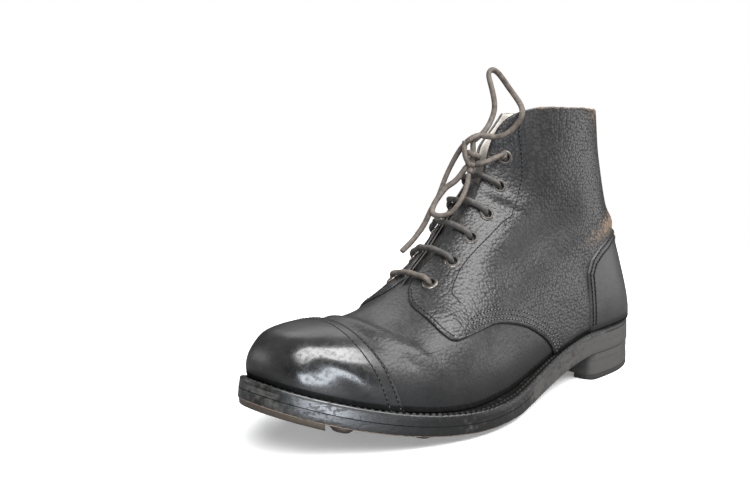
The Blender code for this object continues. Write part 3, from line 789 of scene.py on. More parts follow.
GRAIN = LeatherFinish("pebbled_leather")
VAMP_GRAIN = LeatherFinish(
    "vamp_leather", grain=1.8, grain_depth=0.16, valley=0.4, roughness=0.42, specular=0.32, shine=0.16
)
CAP_SHINE = LeatherFinish(
    "polished_cap",
    deep=(0.009, 0.009, 0.0092),
    dusty=(0.018, 0.0176, 0.0172),
    grain=1.6,
    grain_depth=0.05,
    lumps=0.12,
    valley=0.1,
    roughness=0.42,
    specular=0.42,
    shine=0.2,
    coat=1.0,
)
SMOOTH = LeatherFinish("smooth_counter", grain=1.6, grain_depth=0.07, roughness=0.46, valley=0.1)
TONGUE_HIDE = LeatherFinish("tongue_leather", grain=1.0, grain_depth=0.2, roughness=0.5)
SOLE_EDGE = SoleFinish("waxed_sole")
INSOLE_HIDE = PlainLeatherFinish("insole_leather")
LINING_HIDE = PlainLeatherFinish("lining_leather", light=(0.42, 0.395, 0.36), soiled=(0.24, 0.215, 0.185))
IRON = MetalFinish(
    "worn_iron_plate", bright=(0.11, 0.092, 0.074), dull=(0.045, 0.033, 0.024), patch=2.0, metallic=0.6
)
HEEL_IRON = MetalFinish(
    "blackened_iron_plate", bright=(0.07, 0.065, 0.06), dull=(0.030, 0.028, 0.026), metallic=0.4
)
BRASS = MetalFinish(
    "dull_brass",
    bright=(0.34, 0.295, 0.245),
    dull=(0.045, 0.042, 0.039),
    patch=1.6,
    blotch=0.25,
    roughness=0.32,
)
LACE_THONG = ThongFinish("lace_thong", light=(0.126, 0.106, 0.086), dark=(0.055, 0.047, 0.039))
BAR_THONG = ThongFinish("blackened_thong", light=(0.080, 0.074, 0.067), dark=(0.036, 0.033, 0.030))
THREAD = ThongFinish("waxed_thread", light=(0.030, 0.029, 0.028), dark=(0.012, 0.012, 0.012), depth=0.05)
PALE_THREAD = ThongFinish("dusty_thread", light=(0.13, 0.126, 0.120), dark=(0.04, 0.038, 0.036), depth=0.05)
# Thread darker along the welt's sides.
DARKER_SIDE_THREAD = ThongFinish(
    "darker_side_thread", light=(0.016, 0.015, 0.014), dark=(0.007, 0.007, 0.006), depth=0.05, specular=0.15
)
# Near-black strips: the dark joint between the sole's layers, and painted shade under stitches and along the
# welt.
BLACK_JOINT_AND_SHADE = ThongFinish(
    "black_joint_and_painted_shade", light=(0.008, 0.008, 0.008), dark=(0.004, 0.004, 0.004), depth=0.03, specular=0.05
)


@dataclass
class Shape:
    """Points in millimetres, faces and numbers kept on the points."""

    points: Array
    faces: Faces
    marks: dict[str, Array] = field(default_factory=dict)

    def mesh(self, name: str) -> bpy.types.Mesh:
        """The shape as a mesh in metres, with its faces turned outwards."""
        mesh = bpy.data.meshes.new(name)
        mesh.from_pydata(metres(self.points).tolist(), [], self.faces)
        mesh.validate()
        work = bmesh.new()
        work.from_mesh(mesh)
        bmesh.ops.recalc_face_normals(work, faces=work.faces)
        work.to_mesh(mesh)
        work.free()
        return mesh

    def piece(
        self, name: str, finish: Finish, slot: Slot, nodes: Sequence[str], sharp: float | None = None
    ) -> bpy.types.Object:
        """Makes the shape a piece that rides on the boot.

        Args:
            name: The piece's name.
            finish: What it is made of.
            slot: The record's material slot; not used.
            nodes: CAD nodes that it stands for.
            sharp: Angle in degrees from which edges are sharp, or None for all smooth.

        Returns:
            The new object.
        """
        mesh = self.mesh(name)
        mesh.shade_smooth()
        if sharp is not None:
            mesh.set_sharp_from_angle(angle=math.radians(sharp))
        for mark, numbers in self.marks.items():
            mesh.attributes.new(mark, "FLOAT", "POINT").data.foreach_set("value", numbers)
        mesh.materials.append(finish.material())
        made = linked(name, mesh)
        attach(made, BODY)
        if nodes:
            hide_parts(*nodes)
        LOG.info("%s: %d faces", name, len(mesh.polygons))
        return made


def joined(shapes: Sequence[Shape]) -> Shape:
    """Several shapes as one."""
    points, faces, first = [], [], 0
    for shape in shapes:
        points.append(shape.points)
        faces += [tuple(corner + first for corner in face) for face in shape.faces]
        first += len(shape.points)
    names = set().union(*(shape.marks for shape in shapes))
    marks = {}
    for name in names:
        marks[name] = np.concatenate([s.marks.get(name, np.zeros(len(s.points))) for s in shapes])
    return Shape(np.concatenate(points), faces, marks)


def grid_faces(rows: int, columns: int, first: int = 0, closed: bool = False) -> Faces:
    """Faces of a grid of points numbered row by row, closed round the columns if asked."""
    faces = []
    for row in range(rows - 1):
        for place in range(columns if closed else columns - 1):
            a = first + row * columns + place
            b = first + row * columns + (place + 1) % columns
            faces.append((a, b, b + columns, a + columns))
    return faces


def lofted(rings: Array) -> Shape:
    """Closed tube through rows of rings of points, with both ends shut."""
    rows, columns = rings.shape[:2]
    end = (rows - 1) * columns
    ends = [tuple(range(columns))[::-1], tuple(range(end, end + columns))]
    return Shape(rings.reshape(-1, 3), grid_faces(rows, columns, closed=True) + ends)


def welded(keys: Array, faces: Faces, sets: Sequence[Array]) -> tuple[list[Array], Faces]:
    """Points whose keys coincide made one.

    Args:
        keys: Points that decide what coincides.
        faces: Faces over the points.
        sets: Arrays with a row or number for each point.

    Returns:
        The merged arrays and the faces that are left.
    """
    rounded = np.round(keys, 3) + 0.0
    _, first, index = np.unique(rounded, axis=0, return_index=True, return_inverse=True)
    index = index.reshape(-1)
    counts = np.bincount(index)
    merged = []
    for values in sets:
        total = np.zeros((len(first), *values.shape[1:]))
        np.add.at(total, index, values)
        merged.append(total / counts.reshape(-1, *[1] * (values.ndim - 1)))
    kept = []
    for face in faces:
        corners = [int(index[corner]) for corner in face]
        corners = [corner for i, corner in enumerate(corners) if corner != corners[i - 1]]
        if len(set(corners)) == len(corners) > 2:
            kept.append(tuple(corners))
    return merged, kept


@dataclass(frozen=True)
class Fold:
    """A soft trough, or a ridge where depth is negative, along a line of section and angle."""

    line: tuple[Span, ...]
    width: float
    depth: float
    mirrored: bool = False
    start: float = 0.0

    def lift(self, points: Array) -> Array:
        """How far the fold raises each point of the last's outside.

        Args:
            points: Points of the last.

        Returns:
            Millimetres along the surface's normal.
        """
        track = smooth_route(self.line, 6 * len(self.line))
        near = np.full(len(points), np.inf)
        share = np.zeros(len(points))
        count = len(track) - 1
        for sign in (1, -1) if self.mirrored else (1,):
            way = LAST.point(track[:, 0], sign * track[:, 1])
            for i in range(count):
                step = way[i + 1] - way[i]
                along = np.clip((points - way[i]) @ step / (step @ step), 0, 1)
                gap = ((points - way[i] - along[:, None] * step) ** 2).sum(1)
                closer = gap < near
                near = np.where(closer, gap, near)
                share = np.where(closer, (i + along) / count, share)
        place = np.clip(self.start + (1 - self.start) * share, 0.02, 0.98)
        return -self.depth * np.exp(-near / self.width**2) * np.sin(math.pi * place) ** 0.6


@dataclass(frozen=True)
class Ripple:
    """Gentle unevenness all over the leather."""

    size: float
    depth: float

    def lift(self, points: Array) -> Array:
        """How far the ripple raises each point."""
        across, station, height = (points / self.size).T
        waves = np.sin(across + 1.7 * station + 0.6 * height)
        waves += np.sin(1.3 * height - 0.8 * station + 2)
        waves += np.sin(1.6 * across + 0.9 * station - 1.1 * height + 4)
        return self.depth * waves / 3


Folds = Sequence[Fold | Ripple]
BACK_RIDGE = (
    (13.42, 3.14), (13.25, 2.6), (13.0, 2.15), (12.62, 1.79), (12.23, 1.56), (11.67, 1.34),
    (11.13, 1.20),
)
CAP_CREST = (
    (5.85, -1.0), (5.3, -0.6), (5.0, -0.2), (4.93, 0.15), (4.97, 0.39), (5.22, 0.66), (5.68, 0.94),
    (5.95, 1.12),
)
ANKLE_TROUGH = ((12.92, 1.51), (12.25, 1.25), (11.08, 0.98), (10.10, 0.92), (9.25, 0.87), (8.48, 0.80))
ANKLE_RIDGE = ((12.48, 0.97), (11.18, 0.75), (9.78, 0.71), (8.98, 0.70), (8.27, 0.67))
FOLDS: Folds = (
    Ripple(7.0, 0.22),
    Fold(CAP_CREST, 5.0, -1.8),
    Fold(((4.75, -0.8), (4.62, 0.0), (4.6, 0.5), (4.65, 0.8)), 3.0, 0.8),
    Fold(((5.45, -0.5), (5.35, 0.0), (5.45, 0.35), (5.7, 0.65), (6.0, 0.85)), 4.0, 0.5),
    Fold(((5.72, 0.81), (5.90, 0.94), (6.08, 1.07)), 2.5, 0.5),
    Fold(((5.15, 0.85), (5.18, 0.99), (5.32, 1.07)), 2.0, 0.4),
    Fold(BACK_RIDGE, 6.0, -2.2, mirrored=True, start=0.5),
    Fold(ANKLE_TROUGH, 11.0, 1.9, mirrored=True),
    Fold(ANKLE_RIDGE, 9.0, -1.0, mirrored=True),
    Fold(((10.38, 0.2), (10.43, 0.41), (10.52, 0.55), (10.67, 0.67), (10.9, 0.8)), 2.2, 0.9),
    Fold(((10.75, 0.3), (10.85, 0.5), (11.0, 0.65)), 3.0, -0.7),
    Fold(((10.0, 0.3), (10.1, 0.45), (10.2, 0.6)), 1.8, 0.4),
    Fold(((15.0, 3.14), (14.3, 3.14), (13.5, 3.14)), 1.1, 0.6, start=0.5),
)
CAP_FOLDS: Folds = (Ripple(9.0, 0.1), *FOLDS[1:])
QUARTER_FOLDS: Folds = (
    *FOLDS,
    Fold(((6.75, 0.55), (6.85, 0.75), (6.95, 0.88), (7.35, 0.95)), 5.0, -1.0, mirrored=True),
)


def raised(points: Array, folds: Folds) -> Array:
    """How far all the folds raise each point."""
    return sum((fold.lift(points) for fold in folds), np.zeros(len(points)))


@dataclass
class Patch:
    """Half of a leather panel: a grid of sections and angles with depths of its outside and inside."""

    section: Array
    angle: Array
    outside: Array
    inside: Array

    def roll(self, edges: str, amount: float = 0.55, reach: float = 0.9) -> "Patch":
        """Rounds the outside down towards named edges of the grid.

        Args:
            edges: Letters of the edges: s start row, e end row, l first column.
            amount: How far the edge is lowered.
            reach: How far in the rounding is felt.

        Returns:
            The patch itself.
        """
        points = LAST.point(self.section, self.angle)
        down = np.linalg.norm(np.diff(points, axis=0), axis=-1)
        over = np.linalg.norm(np.diff(points, axis=1), axis=-1)
        from_start = np.concatenate([0 * down[:1], np.cumsum(down, 0)])
        from_left = np.concatenate([0 * over[:, :1], np.cumsum(over, 1)], 1)
        gaps = {"s": from_start, "e": from_start[-1:] - from_start, "l": from_left}
        for edge in edges:
            self.outside = self.outside - amount * np.exp(-((gaps[edge] / reach) ** 2))
        return self


def panel(patches: Sequence[Patch], folds: Folds) -> Shape:
    """A closed leather wall from half panels, with folds.

    Args:
        patches: Half grids, one on each side.
        folds: Folds of the leather.

    Returns:
        The wall, outside points first, then inside points.
    """
    keys, outer, inner, faces, first = [], [], [], [], 0
    for patch in patches:
        rows, columns = patch.section.shape
        faces += grid_faces(rows, columns, first)
        first += rows * columns
        base = LAST.point(patch.section, patch.angle).reshape(-1, 3)
        lift = raised(base, folds)
        way = LAST.normal(patch.section, patch.angle).reshape(-1, 3)
        keys.append(base)
        outer.append(base + way * (patch.outside.reshape(-1) + lift)[:, None])
        inner.append(base + way * (patch.inside.reshape(-1) + lift)[:, None])
    # The inner half grid runs the other way round, so its faces are turned.
    half = grid_faces(*patches[0].section.shape)
    turned = [face[::-1] for face in faces[len(half) :]]
    sets = [np.concatenate(outer), np.concatenate(inner)]
    (outside, inside), faces = welded(np.concatenate(keys), faces[: len(half)] + turned, sets)
    count = len(outside)
    used = {(a, b) for face in faces for a, b in zip(face, face[1:] + face[:1])}
    walls = [(b, a, a + count, b + count) for a, b in used if (b, a) not in used]
    backs = [tuple(corner + count for corner in face[::-1]) for face in faces]
    return Shape(np.concatenate([outside, inside]), faces + backs + sorted(walls))


@dataclass(frozen=True)
class Thread:
    """A row of stitches along a track. Each ring has its place along the stitch, thickness and rise."""

    pitch: float = 2.6
    length: float = 1.6
    radius: float = 0.4
    sides: int = 6
    rings: Route = (
        (-0.5, 0.45, -1.0), (-0.36, 0.92, -0.12), (0.0, 1.0, 0.18), (0.36, 0.92, -0.12),
        (0.5, 0.45, -1.0),
    )

    def sew(self, line: Array, normals: Array) -> Shape:
        """Stitches that dip into the leather at both ends.

        Args:
            line: Points of the track on the leather.
            normals: Outward directions at those points.

        Returns:
            All the stitches as one shape.
        """
        reach = walked(line)
        middles = np.arange(self.pitch / 2, reach[-1], self.pitch)

        def at(places: Array, values: Array) -> Array:
            """Values along the track, read at places on it."""
            return np.column_stack([np.interp(places, reach, column) for column in values.T])

        first, last = (at(middles + half, line) for half in (-self.length / 2, self.length / 2))
        up = at(middles, normals)
        centre = (first + last) / 2
        along = unit(last - first)
        side = unit(np.cross(along, up))
        turns = np.linspace(0, FULL_TURN, self.sides, endpoint=False)
        faces = grid_faces(len(self.rings), self.sides, closed=True)
        shapes = []
        for row in range(len(middles)):
            around = np.outer(np.cos(turns), side[row]) + np.outer(np.sin(turns), up[row])
            points = []
            for place, size, rise in self.rings:
                spot = centre[row] + along[row] * place * self.length + up[row] * rise * self.radius
                points.append(spot + around * size * self.radius)
            shapes.append(Shape(np.concatenate(points), faces))
        return joined(shapes)


def strip(line: Array, normals: Array, half_width: float, height: float) -> Shape:
    """Shallow closed strip that lies on the leather along a line.

    Args:
        line: Points of the track on the leather.
        normals: Outward directions at those points.
        half_width: Half of the strip's width.
        height: How far its top stands out of the leather.

    Returns:
        The strip.
    """
    side = half_width * unit(np.cross(np.gradient(line, axis=0), normals))
    profile = ((-1, -6), (-1, -0.4), (-0.6, 1), (0.6, 1), (1, -0.4), (1, -6))
    return lofted(np.stack([line + side * across + normals * up * height for across, up in profile], 1))


@dataclass(frozen=True)
class Seam:
    """A stitched track of section and angle, the depth of the leather under it and that leather's folds."""

    track: Array
    depth: float
    folds: Folds
    pale: bool = False

    def on_leather(self) -> tuple[Array, Array]:
        """Points of the track on the folded leather, and the outward directions there."""
        base = LAST.point(*self.track.T)
        way = LAST.normal(*self.track.T)
        return base + way * (self.depth + raised(base, self.folds))[:, None], way


@dataclass
class Upper:
    """Vamp, quarters, cap, counter, tongue and lining.

    Depths are measured from the last's outside, laps in sections. Pairs named fade, rub, rim or gloss are the
    heights, stations or ways across between which a look comes or goes, and the shade fades are where painted
    shade comes or goes. corner_rub is an oval: the station and height of its middle, and its reach each way.
    """

    clearance: float = -0.3
    vamp_depth: float = -1.4
    wall: float = 1.5
    lap: float = 0.22
    lap_sink: float = 0.9
    cap_depth: float = -0.2
    cap_wall: float = 1.9
    counter_depth: float = 1.2
    counter_wall: float = 1.6
    shade_fade: Span = (2.5, 6.0)
    vamp_gloss_fade: Span = (6.0, 26.0)
    vamp_shade_fade: Span = (6.0, 20.0)
    collar_rub: Span = (156.0, 172.0)
    collar_rim: Span = (168.6, 169.8)
    corner_rub: tuple[float, ...] = (58.0, 158.0, 12.0, 22.0)
    counter_rub: Span = (78.0, 96.0)
    tip_rub: Span = (276.0, 290.0)
    gloss_front: float = 284.0
    gloss_outer: Span = (0.0, 14.0)
    gloss_inner: Span = (24.0, 38.0)
    gloss_foot: Span = (31.0, 37.0)
    gloss_top: Span = (52.0, 62.0)
    lining_soil: Span = (138.0, 152.0)
    cap_insets: tuple[float, ...] = (1.5, 6.5)
    arch_insets: tuple[float, ...] = (2.6, 5.2, 7.8)
    tab_insets: tuple[float, ...] = (2.2,)
    counter_insets: tuple[float, ...] = (1.5, 5.0)
    counter_thread: float = 0.35
    back_row: tuple[float, float, int] = (13.75, 14.95, 60)
    back_angle: float = 3.05
    groove_half: float = 0.36
    groove_height: float = 0.1
    crease_halves: Point = (1.6, 1.4, 0.9)
    crease_height: float = 0.12
    lining_depths: Span = (-2.2, -3.0)
    tongue_depths: Span = (-3.8, -5.6)
    tongue_sections: Span = (6.3, 10.9)
    tongue_half_width: float = 19.0
    tab_edge: Table = Table(
        ("share", "section"),
        (
            (0, 7.15), (0.052, 6.97), (0.077, 6.82), (0.121, 6.635), (0.169, 6.5), (0.255, 6.425),
            (0.351, 6.425), (0.444, 6.446), (0.516, 6.516), (0.555, 6.6), (0.575, 6.733),
        ),
    )
    arch_edge: Table = Table(
        ("share", "section"),
        (
            (0.575, 6.733), (0.58, 7.25), (0.588, 7.84), (0.63, 8.316), (0.69, 8.723), (0.746, 8.996),
            (0.806, 9.185), (0.871, 9.283), (0.961, 9.297), (1.0, 9.3),
        ),
    )
    cap_edge: Table = Table(("share", "section"), ((0, 4.5), (0.46, 4.36), (0.69, 4.3), (1, 4.05)))
    counter_edge: Table = Table(
        ("station", "height"),
        ((0, 95), (22, 93.5), (47, 88.5), (60, 83), (70, 76.5), (75.4, 68), (76, 20)),
    )
    facing_stitches: Table = Table(
        ("section", "inset"),
        (
            (14.75, 3.5), (12.6, 22.5), (11.25, 24.9), (10.45, 25.4), (10.03, 22.5), (8.85, 19.3),
            (8.03, 19.8), (7.5, 24.8), (7.4, 28.6), (7.4, 34.1),
        ),
    )
    thread: Thread = Thread()

    def seam(self, share: Array) -> Array:
        """Section of the quarter's lower edge at a share of the way from ridge to sole."""
        tab = self.tab_edge.read(share, smooth=True)
        arch = self.arch_edge.read(share, smooth=True)
        return np.where(np.asarray(share) < self.arch_edge.rows[0][0], tab, arch)

    def spread(self, section: Array, share: Array, side: Side) -> Array:
        """Angles from the facing's edge to the sole."""
        low = LAST.slit_angle(section, side)
        high = LAST.sole_angle(section, side, self.clearance)
        return side.value * (low + (high - low) * share)

    def halves(self, section: Array, share: Array, outside: Array, inside: Array) -> list[Patch]:
        """Both halves of a panel that spreads from the facings to the sole."""
        return [Patch(section, self.spread(section, share, side), outside, inside) for side in Side]

    def track(self, share: Array, section: Array, side: Side) -> Array:
        """Rows of section and angle at shares of the way from the facing to the sole."""
        return np.column_stack([section, self.spread(section, share, side)])

    def rows_to_collar(self, start: Array, top: float, low: Eased, high: Eased) -> Array:
        """Rows from 0 to 1 for a panel from its lower edge to the collar, closer at both ends of the heel.

        Args:
            start: Sections of the lower edge.
            top: Section of the upper edge.
            low: Count and ease of the rows up to the back of the heel.
            high: Count and ease of the rows above it.

        Returns:
            A column of row places.
        """
        to_heel = (LAST.heel_back(self.clearance) - start[-1]) / (top - start[-1])
        above = to_heel + (1 - to_heel) * spaced(*high)[1:]
        return np.concatenate([to_heel * spaced(*low), above])[:, None]

    def foot_shade(self, points: Array) -> Array:
        """Painted shade: how black the leather is made near the welt, where the upper curves in above it."""
        return fade(SOLE.above_welt(points), *self.shade_fade)

    def make_vamp(self) -> None:
        """Front of the upper, from under the cap to under the quarters."""
        share = runs((0, 0.54, 50), (0.54, 0.62, 30), (0.62, 1, 36))
        tip = LAST.toe_tip(self.clearance)
        seam = self.seam(share)
        rows = np.linspace(0, 1, 100)[:, None] ** 1.4
        section = tip + (seam + self.lap - tip) * rows
        outside = self.vamp_depth - self.lap_sink * smooth_step((section - seam) / self.lap, 0, 1)
        shape = panel(self.halves(section, share, outside, outside - self.wall), FOLDS)
        height = SOLE.above_welt(shape.points)
        shape.marks["polish"] = 0.8 * fade(height, *self.vamp_gloss_fade)
        # Painted shade: the vamp blackens towards the welt.
        low_shade = 0.6 * fade(height, *self.vamp_shade_fade)
        shape.marks["shade"] = np.maximum(self.foot_shade(shape.points), low_shade)
        shape.piece("vamp", VAMP_GRAIN, Slot.BLACK, ())

    def make_quarters(self) -> None:
        """Sides and back of the upper up to the collar, with holes for the eyelets."""
        share = runs((0, 0.16, 18), (0.16, 0.54, 24), (0.54, 0.6, 36), (0.6, 0.78, 28), (0.78, 1, 26))
        start = self.seam(share) + 0.01
        rows = self.rows_to_collar(start, LAST.end, (66, 0.65), (56, 0.5))
        ragged = LAST.end - 0.010 * (1 + np.sin(23 * share) * np.sin(47 * share + 1))
        section = start + (ragged - start) * rows
        outside = np.zeros_like(section)
        halves = self.halves(section, share, outside, outside - self.wall)
        shape = panel([half.roll("sel") for half in halves], QUARTER_FOLDS)
        shape.marks["wear"] = self.quarter_wear(shape.points)
        # Painted shade along the ankle's trough, and near the welt.
        trough = Fold(ANKLE_TROUGH, 12.0, -0.45, mirrored=True).lift(shape.points)
        shape.marks["shade"] = np.maximum(self.foot_shade(shape.points), trough)
        made = shape.piece("quarters", GRAIN, Slot.BLACK, ("upper",))
        Eyelets().drill(made)

    def quarter_wear(self, points: Array) -> Array:
        """How brown each point of the quarters is rubbed: along the collar and above the counter."""
        _, station, height = points.T
        collar = 0.3 * smooth_step(height, *self.collar_rub) + 0.4 * smooth_step(height, *self.collar_rim)
        ridge = Fold(BACK_RIDGE, 8.5, -0.86, mirrored=True, start=0.5).lift(points)
        middle_station, middle_height, length, tall = self.corner_rub
        corner = ((station - middle_station) / length) ** 2 + ((height - middle_height) / tall) ** 2
        return np.clip(collar + ridge + 0.36 * np.exp(-corner), 0, 1)

    def make_cap(self) -> None:
        """Polished toe cap over the vamp."""
        share = np.linspace(0, 1, 100)
        seam = self.cap_edge.read(share, smooth=True)
        tip = LAST.toe_tip(self.clearance)
        section = tip + (seam - tip) * spaced(90, 0.5)[:, None] ** 1.25
        outside = self.cap_depth + 0 * section
        halves = self.halves(section, share, outside, outside - self.cap_wall)
        shape = panel([half.roll("e") for half in halves], CAP_FOLDS)
        across, station, height = shape.points.T
        behind = 0.8 * (self.gloss_front - station)
        outer = smooth_step(across + behind, *self.gloss_outer)
        inner = smooth_step(behind - across, *self.gloss_inner)
        band = fade(height, *self.gloss_top) * smooth_step(height, *self.gloss_foot)
        line = self.track(share, seam, Side.OUTER)
        edge = Fold(tuple(map(tuple, line[::9])), 8.0, -1.2, mirrored=True).lift(shape.points)
        shape.marks["polish"] = band * np.clip(outer + inner, 0, 1) * np.clip(1 - edge, 0, 1)
        # Painted shade near the welt.
        shape.marks["shade"] = self.foot_shade(shape.points)
        shape.marks["wear"] = 0.16 * smooth_step(station, *self.tip_rub)
        shape.piece("toe_cap_leather", CAP_SHINE, Slot.POLISHED, ("toe_cap",))

    def above_counter(self, section: Array, angle: Array) -> Array:
        """Whether a point lies above or in front of the counter's edge."""
        point = LAST.point(section, angle)
        return point[..., 2] > self.counter_edge.read(point[..., 1])

    def counter_grid(self, side: Side, low_rows: int, high_rows: int, columns: int) -> tuple[Array, Array]:
        """Sections and angles over the counter, first column along its free edge."""
        closing = LAST.heel_back(self.clearance)

        def foot(section: Array) -> Array:
            """Angle of the sole on this side."""
            return side.value * LAST.sole_angle(section, side, self.clearance)

        first = float(bisect(lambda s: self.above_counter(s, foot(s)), closing - 3, closing))
        last = float(bisect(lambda s: ~self.above_counter(s, math.pi), closing, LAST.end))
        low, high = (1 - (1 - np.linspace(0, 1, count)) ** 2 for count in (low_rows, high_rows))
        rows = [first + (closing - first) * low, closing + (last - closing) * high[1:]]
        share = np.linspace(0, 1, columns) ** 1.5
        section = np.concatenate(rows)[:, None] + 0 * share
        high = LAST.sole_angle(section, side, self.clearance)
        low = bisect(lambda turn: self.above_counter(section, side.value * turn), 0 * section, high)
        return section, side.value * (low + (high - low) * share)

    def make_counter(self) -> None:
        """Smooth outside counter round the heel."""
        patches = []
        for side in Side:
            section, angle = self.counter_grid(side, 44, 50, 60)
            outside = self.counter_depth + 0 * section
            patches.append(Patch(section, angle, outside, outside - self.counter_wall).roll("l", 0.8, 0.8))
        shape = panel(patches, ())
        shape.marks["polish"] = np.full(len(shape.points), 0.3)
        # Painted shade near the welt.
        shape.marks["shade"] = self.foot_shade(shape.points)
        shape.marks["wear"] = 0.25 * smooth_step(shape.points[:, 2], *self.counter_rub)
        shape.piece("counter_leather", SMOOTH, Slot.BLACK, ("counter",))

    def make_tongue(self) -> None:
        """Tongue under the facings."""
        share = np.linspace(0, 1, 40)
        section = np.linspace(*self.tongue_sections, 110)[:, None] + 0 * share
        ripple = 0.35 * np.sin(section * 9) * np.exp(-((share - 0.3) ** 2) / 0.1)
        outside, inside = (depth + ripple for depth in self.tongue_depths)
        patches = []
        for side in Side:
            edge = LAST.angle_of_width(section, side, self.tongue_half_width)
            patches.append(Patch(section, side.value * edge * share, outside, inside).roll("se"))
        panel(patches, ()).piece("tongue_leather", TONGUE_HIDE, Slot.BLACK, ("tongue",))

    def make_lining(self) -> None:
        """Lining of the quarters, set back from the collar and the facings' edges."""
        share = np.linspace(0, 1, 50)
        start = self.seam(share) + 0.4
        top = LAST.end - 0.025
        section = start + (top - start) * self.rows_to_collar(start, top, (36, 0.6), (36, 0.5))
        outside, inside = (depth + 0 * section for depth in self.lining_depths)
        shape = panel(self.halves(section, 0.004 + 0.996 * share, outside, inside), FOLDS)
        # Painted shade: the dust mark darkens the lining below the collar, deeper inside the boot.
        shape.marks["dust"] = 0.9 * fade(shape.points[:, 2], *self.lining_soil)
        shape.piece("quarter_lining", LINING_HIDE, Slot.TAN, ())

    def seams(self) -> list[Seam]:
        """Stitched tracks: cap, quarter edges, facings, counter and back."""
        found = []
        for side in Side:
            share = np.linspace(0.02, 0.99, 120)
            cap = self.track(share, self.cap_edge.read(share, smooth=True), side)
            arch = self.track(*smooth_route(self.arch_edge.rows[1:], 140).T, side)
            tab = self.track(*smooth_route(self.tab_edge.rows[2:-1], 90).T, side)
            facing = smooth_route(self.facing_stitches.rows, 140)
            facing[:, 1] = [LAST.from_facing(section, side, inset) for section, inset in facing]
            section, angle = self.counter_grid(side, 150, 50, 2)
            counter = np.column_stack([section[4:-10, 0], angle[4:-10, 0]])
            back = np.linspace(*self.back_row)
            back = np.column_stack([back, np.full_like(back, side.value * self.back_angle)])
            on_counter = self.counter_depth + self.counter_thread
            rows = (
                (cap, -1, self.cap_insets, self.cap_depth, CAP_FOLDS, False),
                (arch, 1, self.arch_insets, 0.0, QUARTER_FOLDS, True),
                (tab, 1, self.tab_insets, 0.0, QUARTER_FOLDS, False),
                (facing, 1, (0.0,), 0.0, QUARTER_FOLDS, False),
                (counter, -1, self.counter_insets, on_counter, (), False),
                (back, 1, (0.0,), 0.0, QUARTER_FOLDS, False),
            )
            for track, way, insets, depth, folds, pale in rows:
                for inset in insets:
                    moved = LAST.shifted(track, way * side.value * inset)
                    found.append(Seam(moved, depth, folds, pale))
        return found

    def make_creases(self) -> None:
        """Black strips of painted shade where cap, vamp, quarters and counter meet the welt and the heel."""
        toe, foot, heel = self.crease_halves
        strips = []
        for side in Side:
            counter = float(self.counter_grid(side, 3, 3, 2)[0][0, 0])
            cap, quarter = self.cap_edge.rows[-1][1], self.arch_edge.rows[-1][1]
            parts = (
                (LAST.toe_tip(toe), cap, 3.0, toe, self.cap_depth, CAP_FOLDS),
                (cap, quarter, 1.0, toe, self.vamp_depth, FOLDS),
                (quarter, counter, 1.0, foot, 0.0, QUARTER_FOLDS),
                (LAST.heel_back(heel), counter, 3.0, heel, self.counter_depth, ()),
            )
            for first, last, ease, half, depth, folds in parts:
                section = first + (last - first) * np.linspace(0, 1, 160) ** ease
                angle = side.value * LAST.sole_angle(section, side, half)
                seam = Seam(np.column_stack([section, angle]), depth, folds)
                strips.append(strip(*seam.on_leather(), half, self.crease_height))
        joined(strips).piece("welt_crease_shadow", BLACK_JOINT_AND_SHADE, Slot.BLACK, ())

    def make_stitches(self) -> None:
        """Rows of stitches, each over a black strip of painted shade for its groove."""
        seams = self.seams()
        for name, finish, pale in (("dark", THREAD, False), ("dusty", PALE_THREAD, True)):
            rows = [self.thread.sew(*seam.on_leather()) for seam in seams if seam.pale == pale]
            joined(rows).piece(f"{name}_stitches", finish, Slot.BLACK, ())
        # Painted shade: black strips stand in for the shade of the stitch channels.
        groove_shades = [strip(*seam.on_leather(), self.groove_half, self.groove_height) for seam in seams]
        joined(groove_shades).piece("stitch_groove_shades", BLACK_JOINT_AND_SHADE, Slot.BLACK, ())

    def build(self) -> None:
        """All the leather of the upper."""
        self.make_vamp()
        self.make_quarters()
        self.make_cap()
        self.make_counter()
        self.make_tongue()
        self.make_lining()
        self.make_creases()
        self.make_stitches()


def turned(profile: Sequence[Span], segments: int) -> Shape:
    """Closed ring turned about its own axis from a closed profile of radius and height."""
    rings = []
    for turn in np.linspace(0, FULL_TURN, segments, endpoint=False):
        rings.append([(r * math.cos(turn), r * math.sin(turn), h) for r, h in profile])
    points = np.array(rings).reshape(-1, 3)
    faces = grid_faces(segments + 1, len(profile), closed=True)
    faces = [tuple(corner % len(points) for corner in face) for face in faces]
    (points,), faces = welded(points, faces, [points])
    return Shape(points, faces)


def placed(shape: Shape, point: Array, up: Array) -> Shape:
    """A shape moved to a point with its own axis along a direction."""
    side = unit(np.cross(up, (0.0, 0.0, 1.0) if abs(up[2]) < 0.9 else (1.0, 0.0, 0.0)))
    basis = np.stack([side, np.cross(up, side), up])
    return Shape(point + shape.points @ basis, shape.faces, shape.marks)


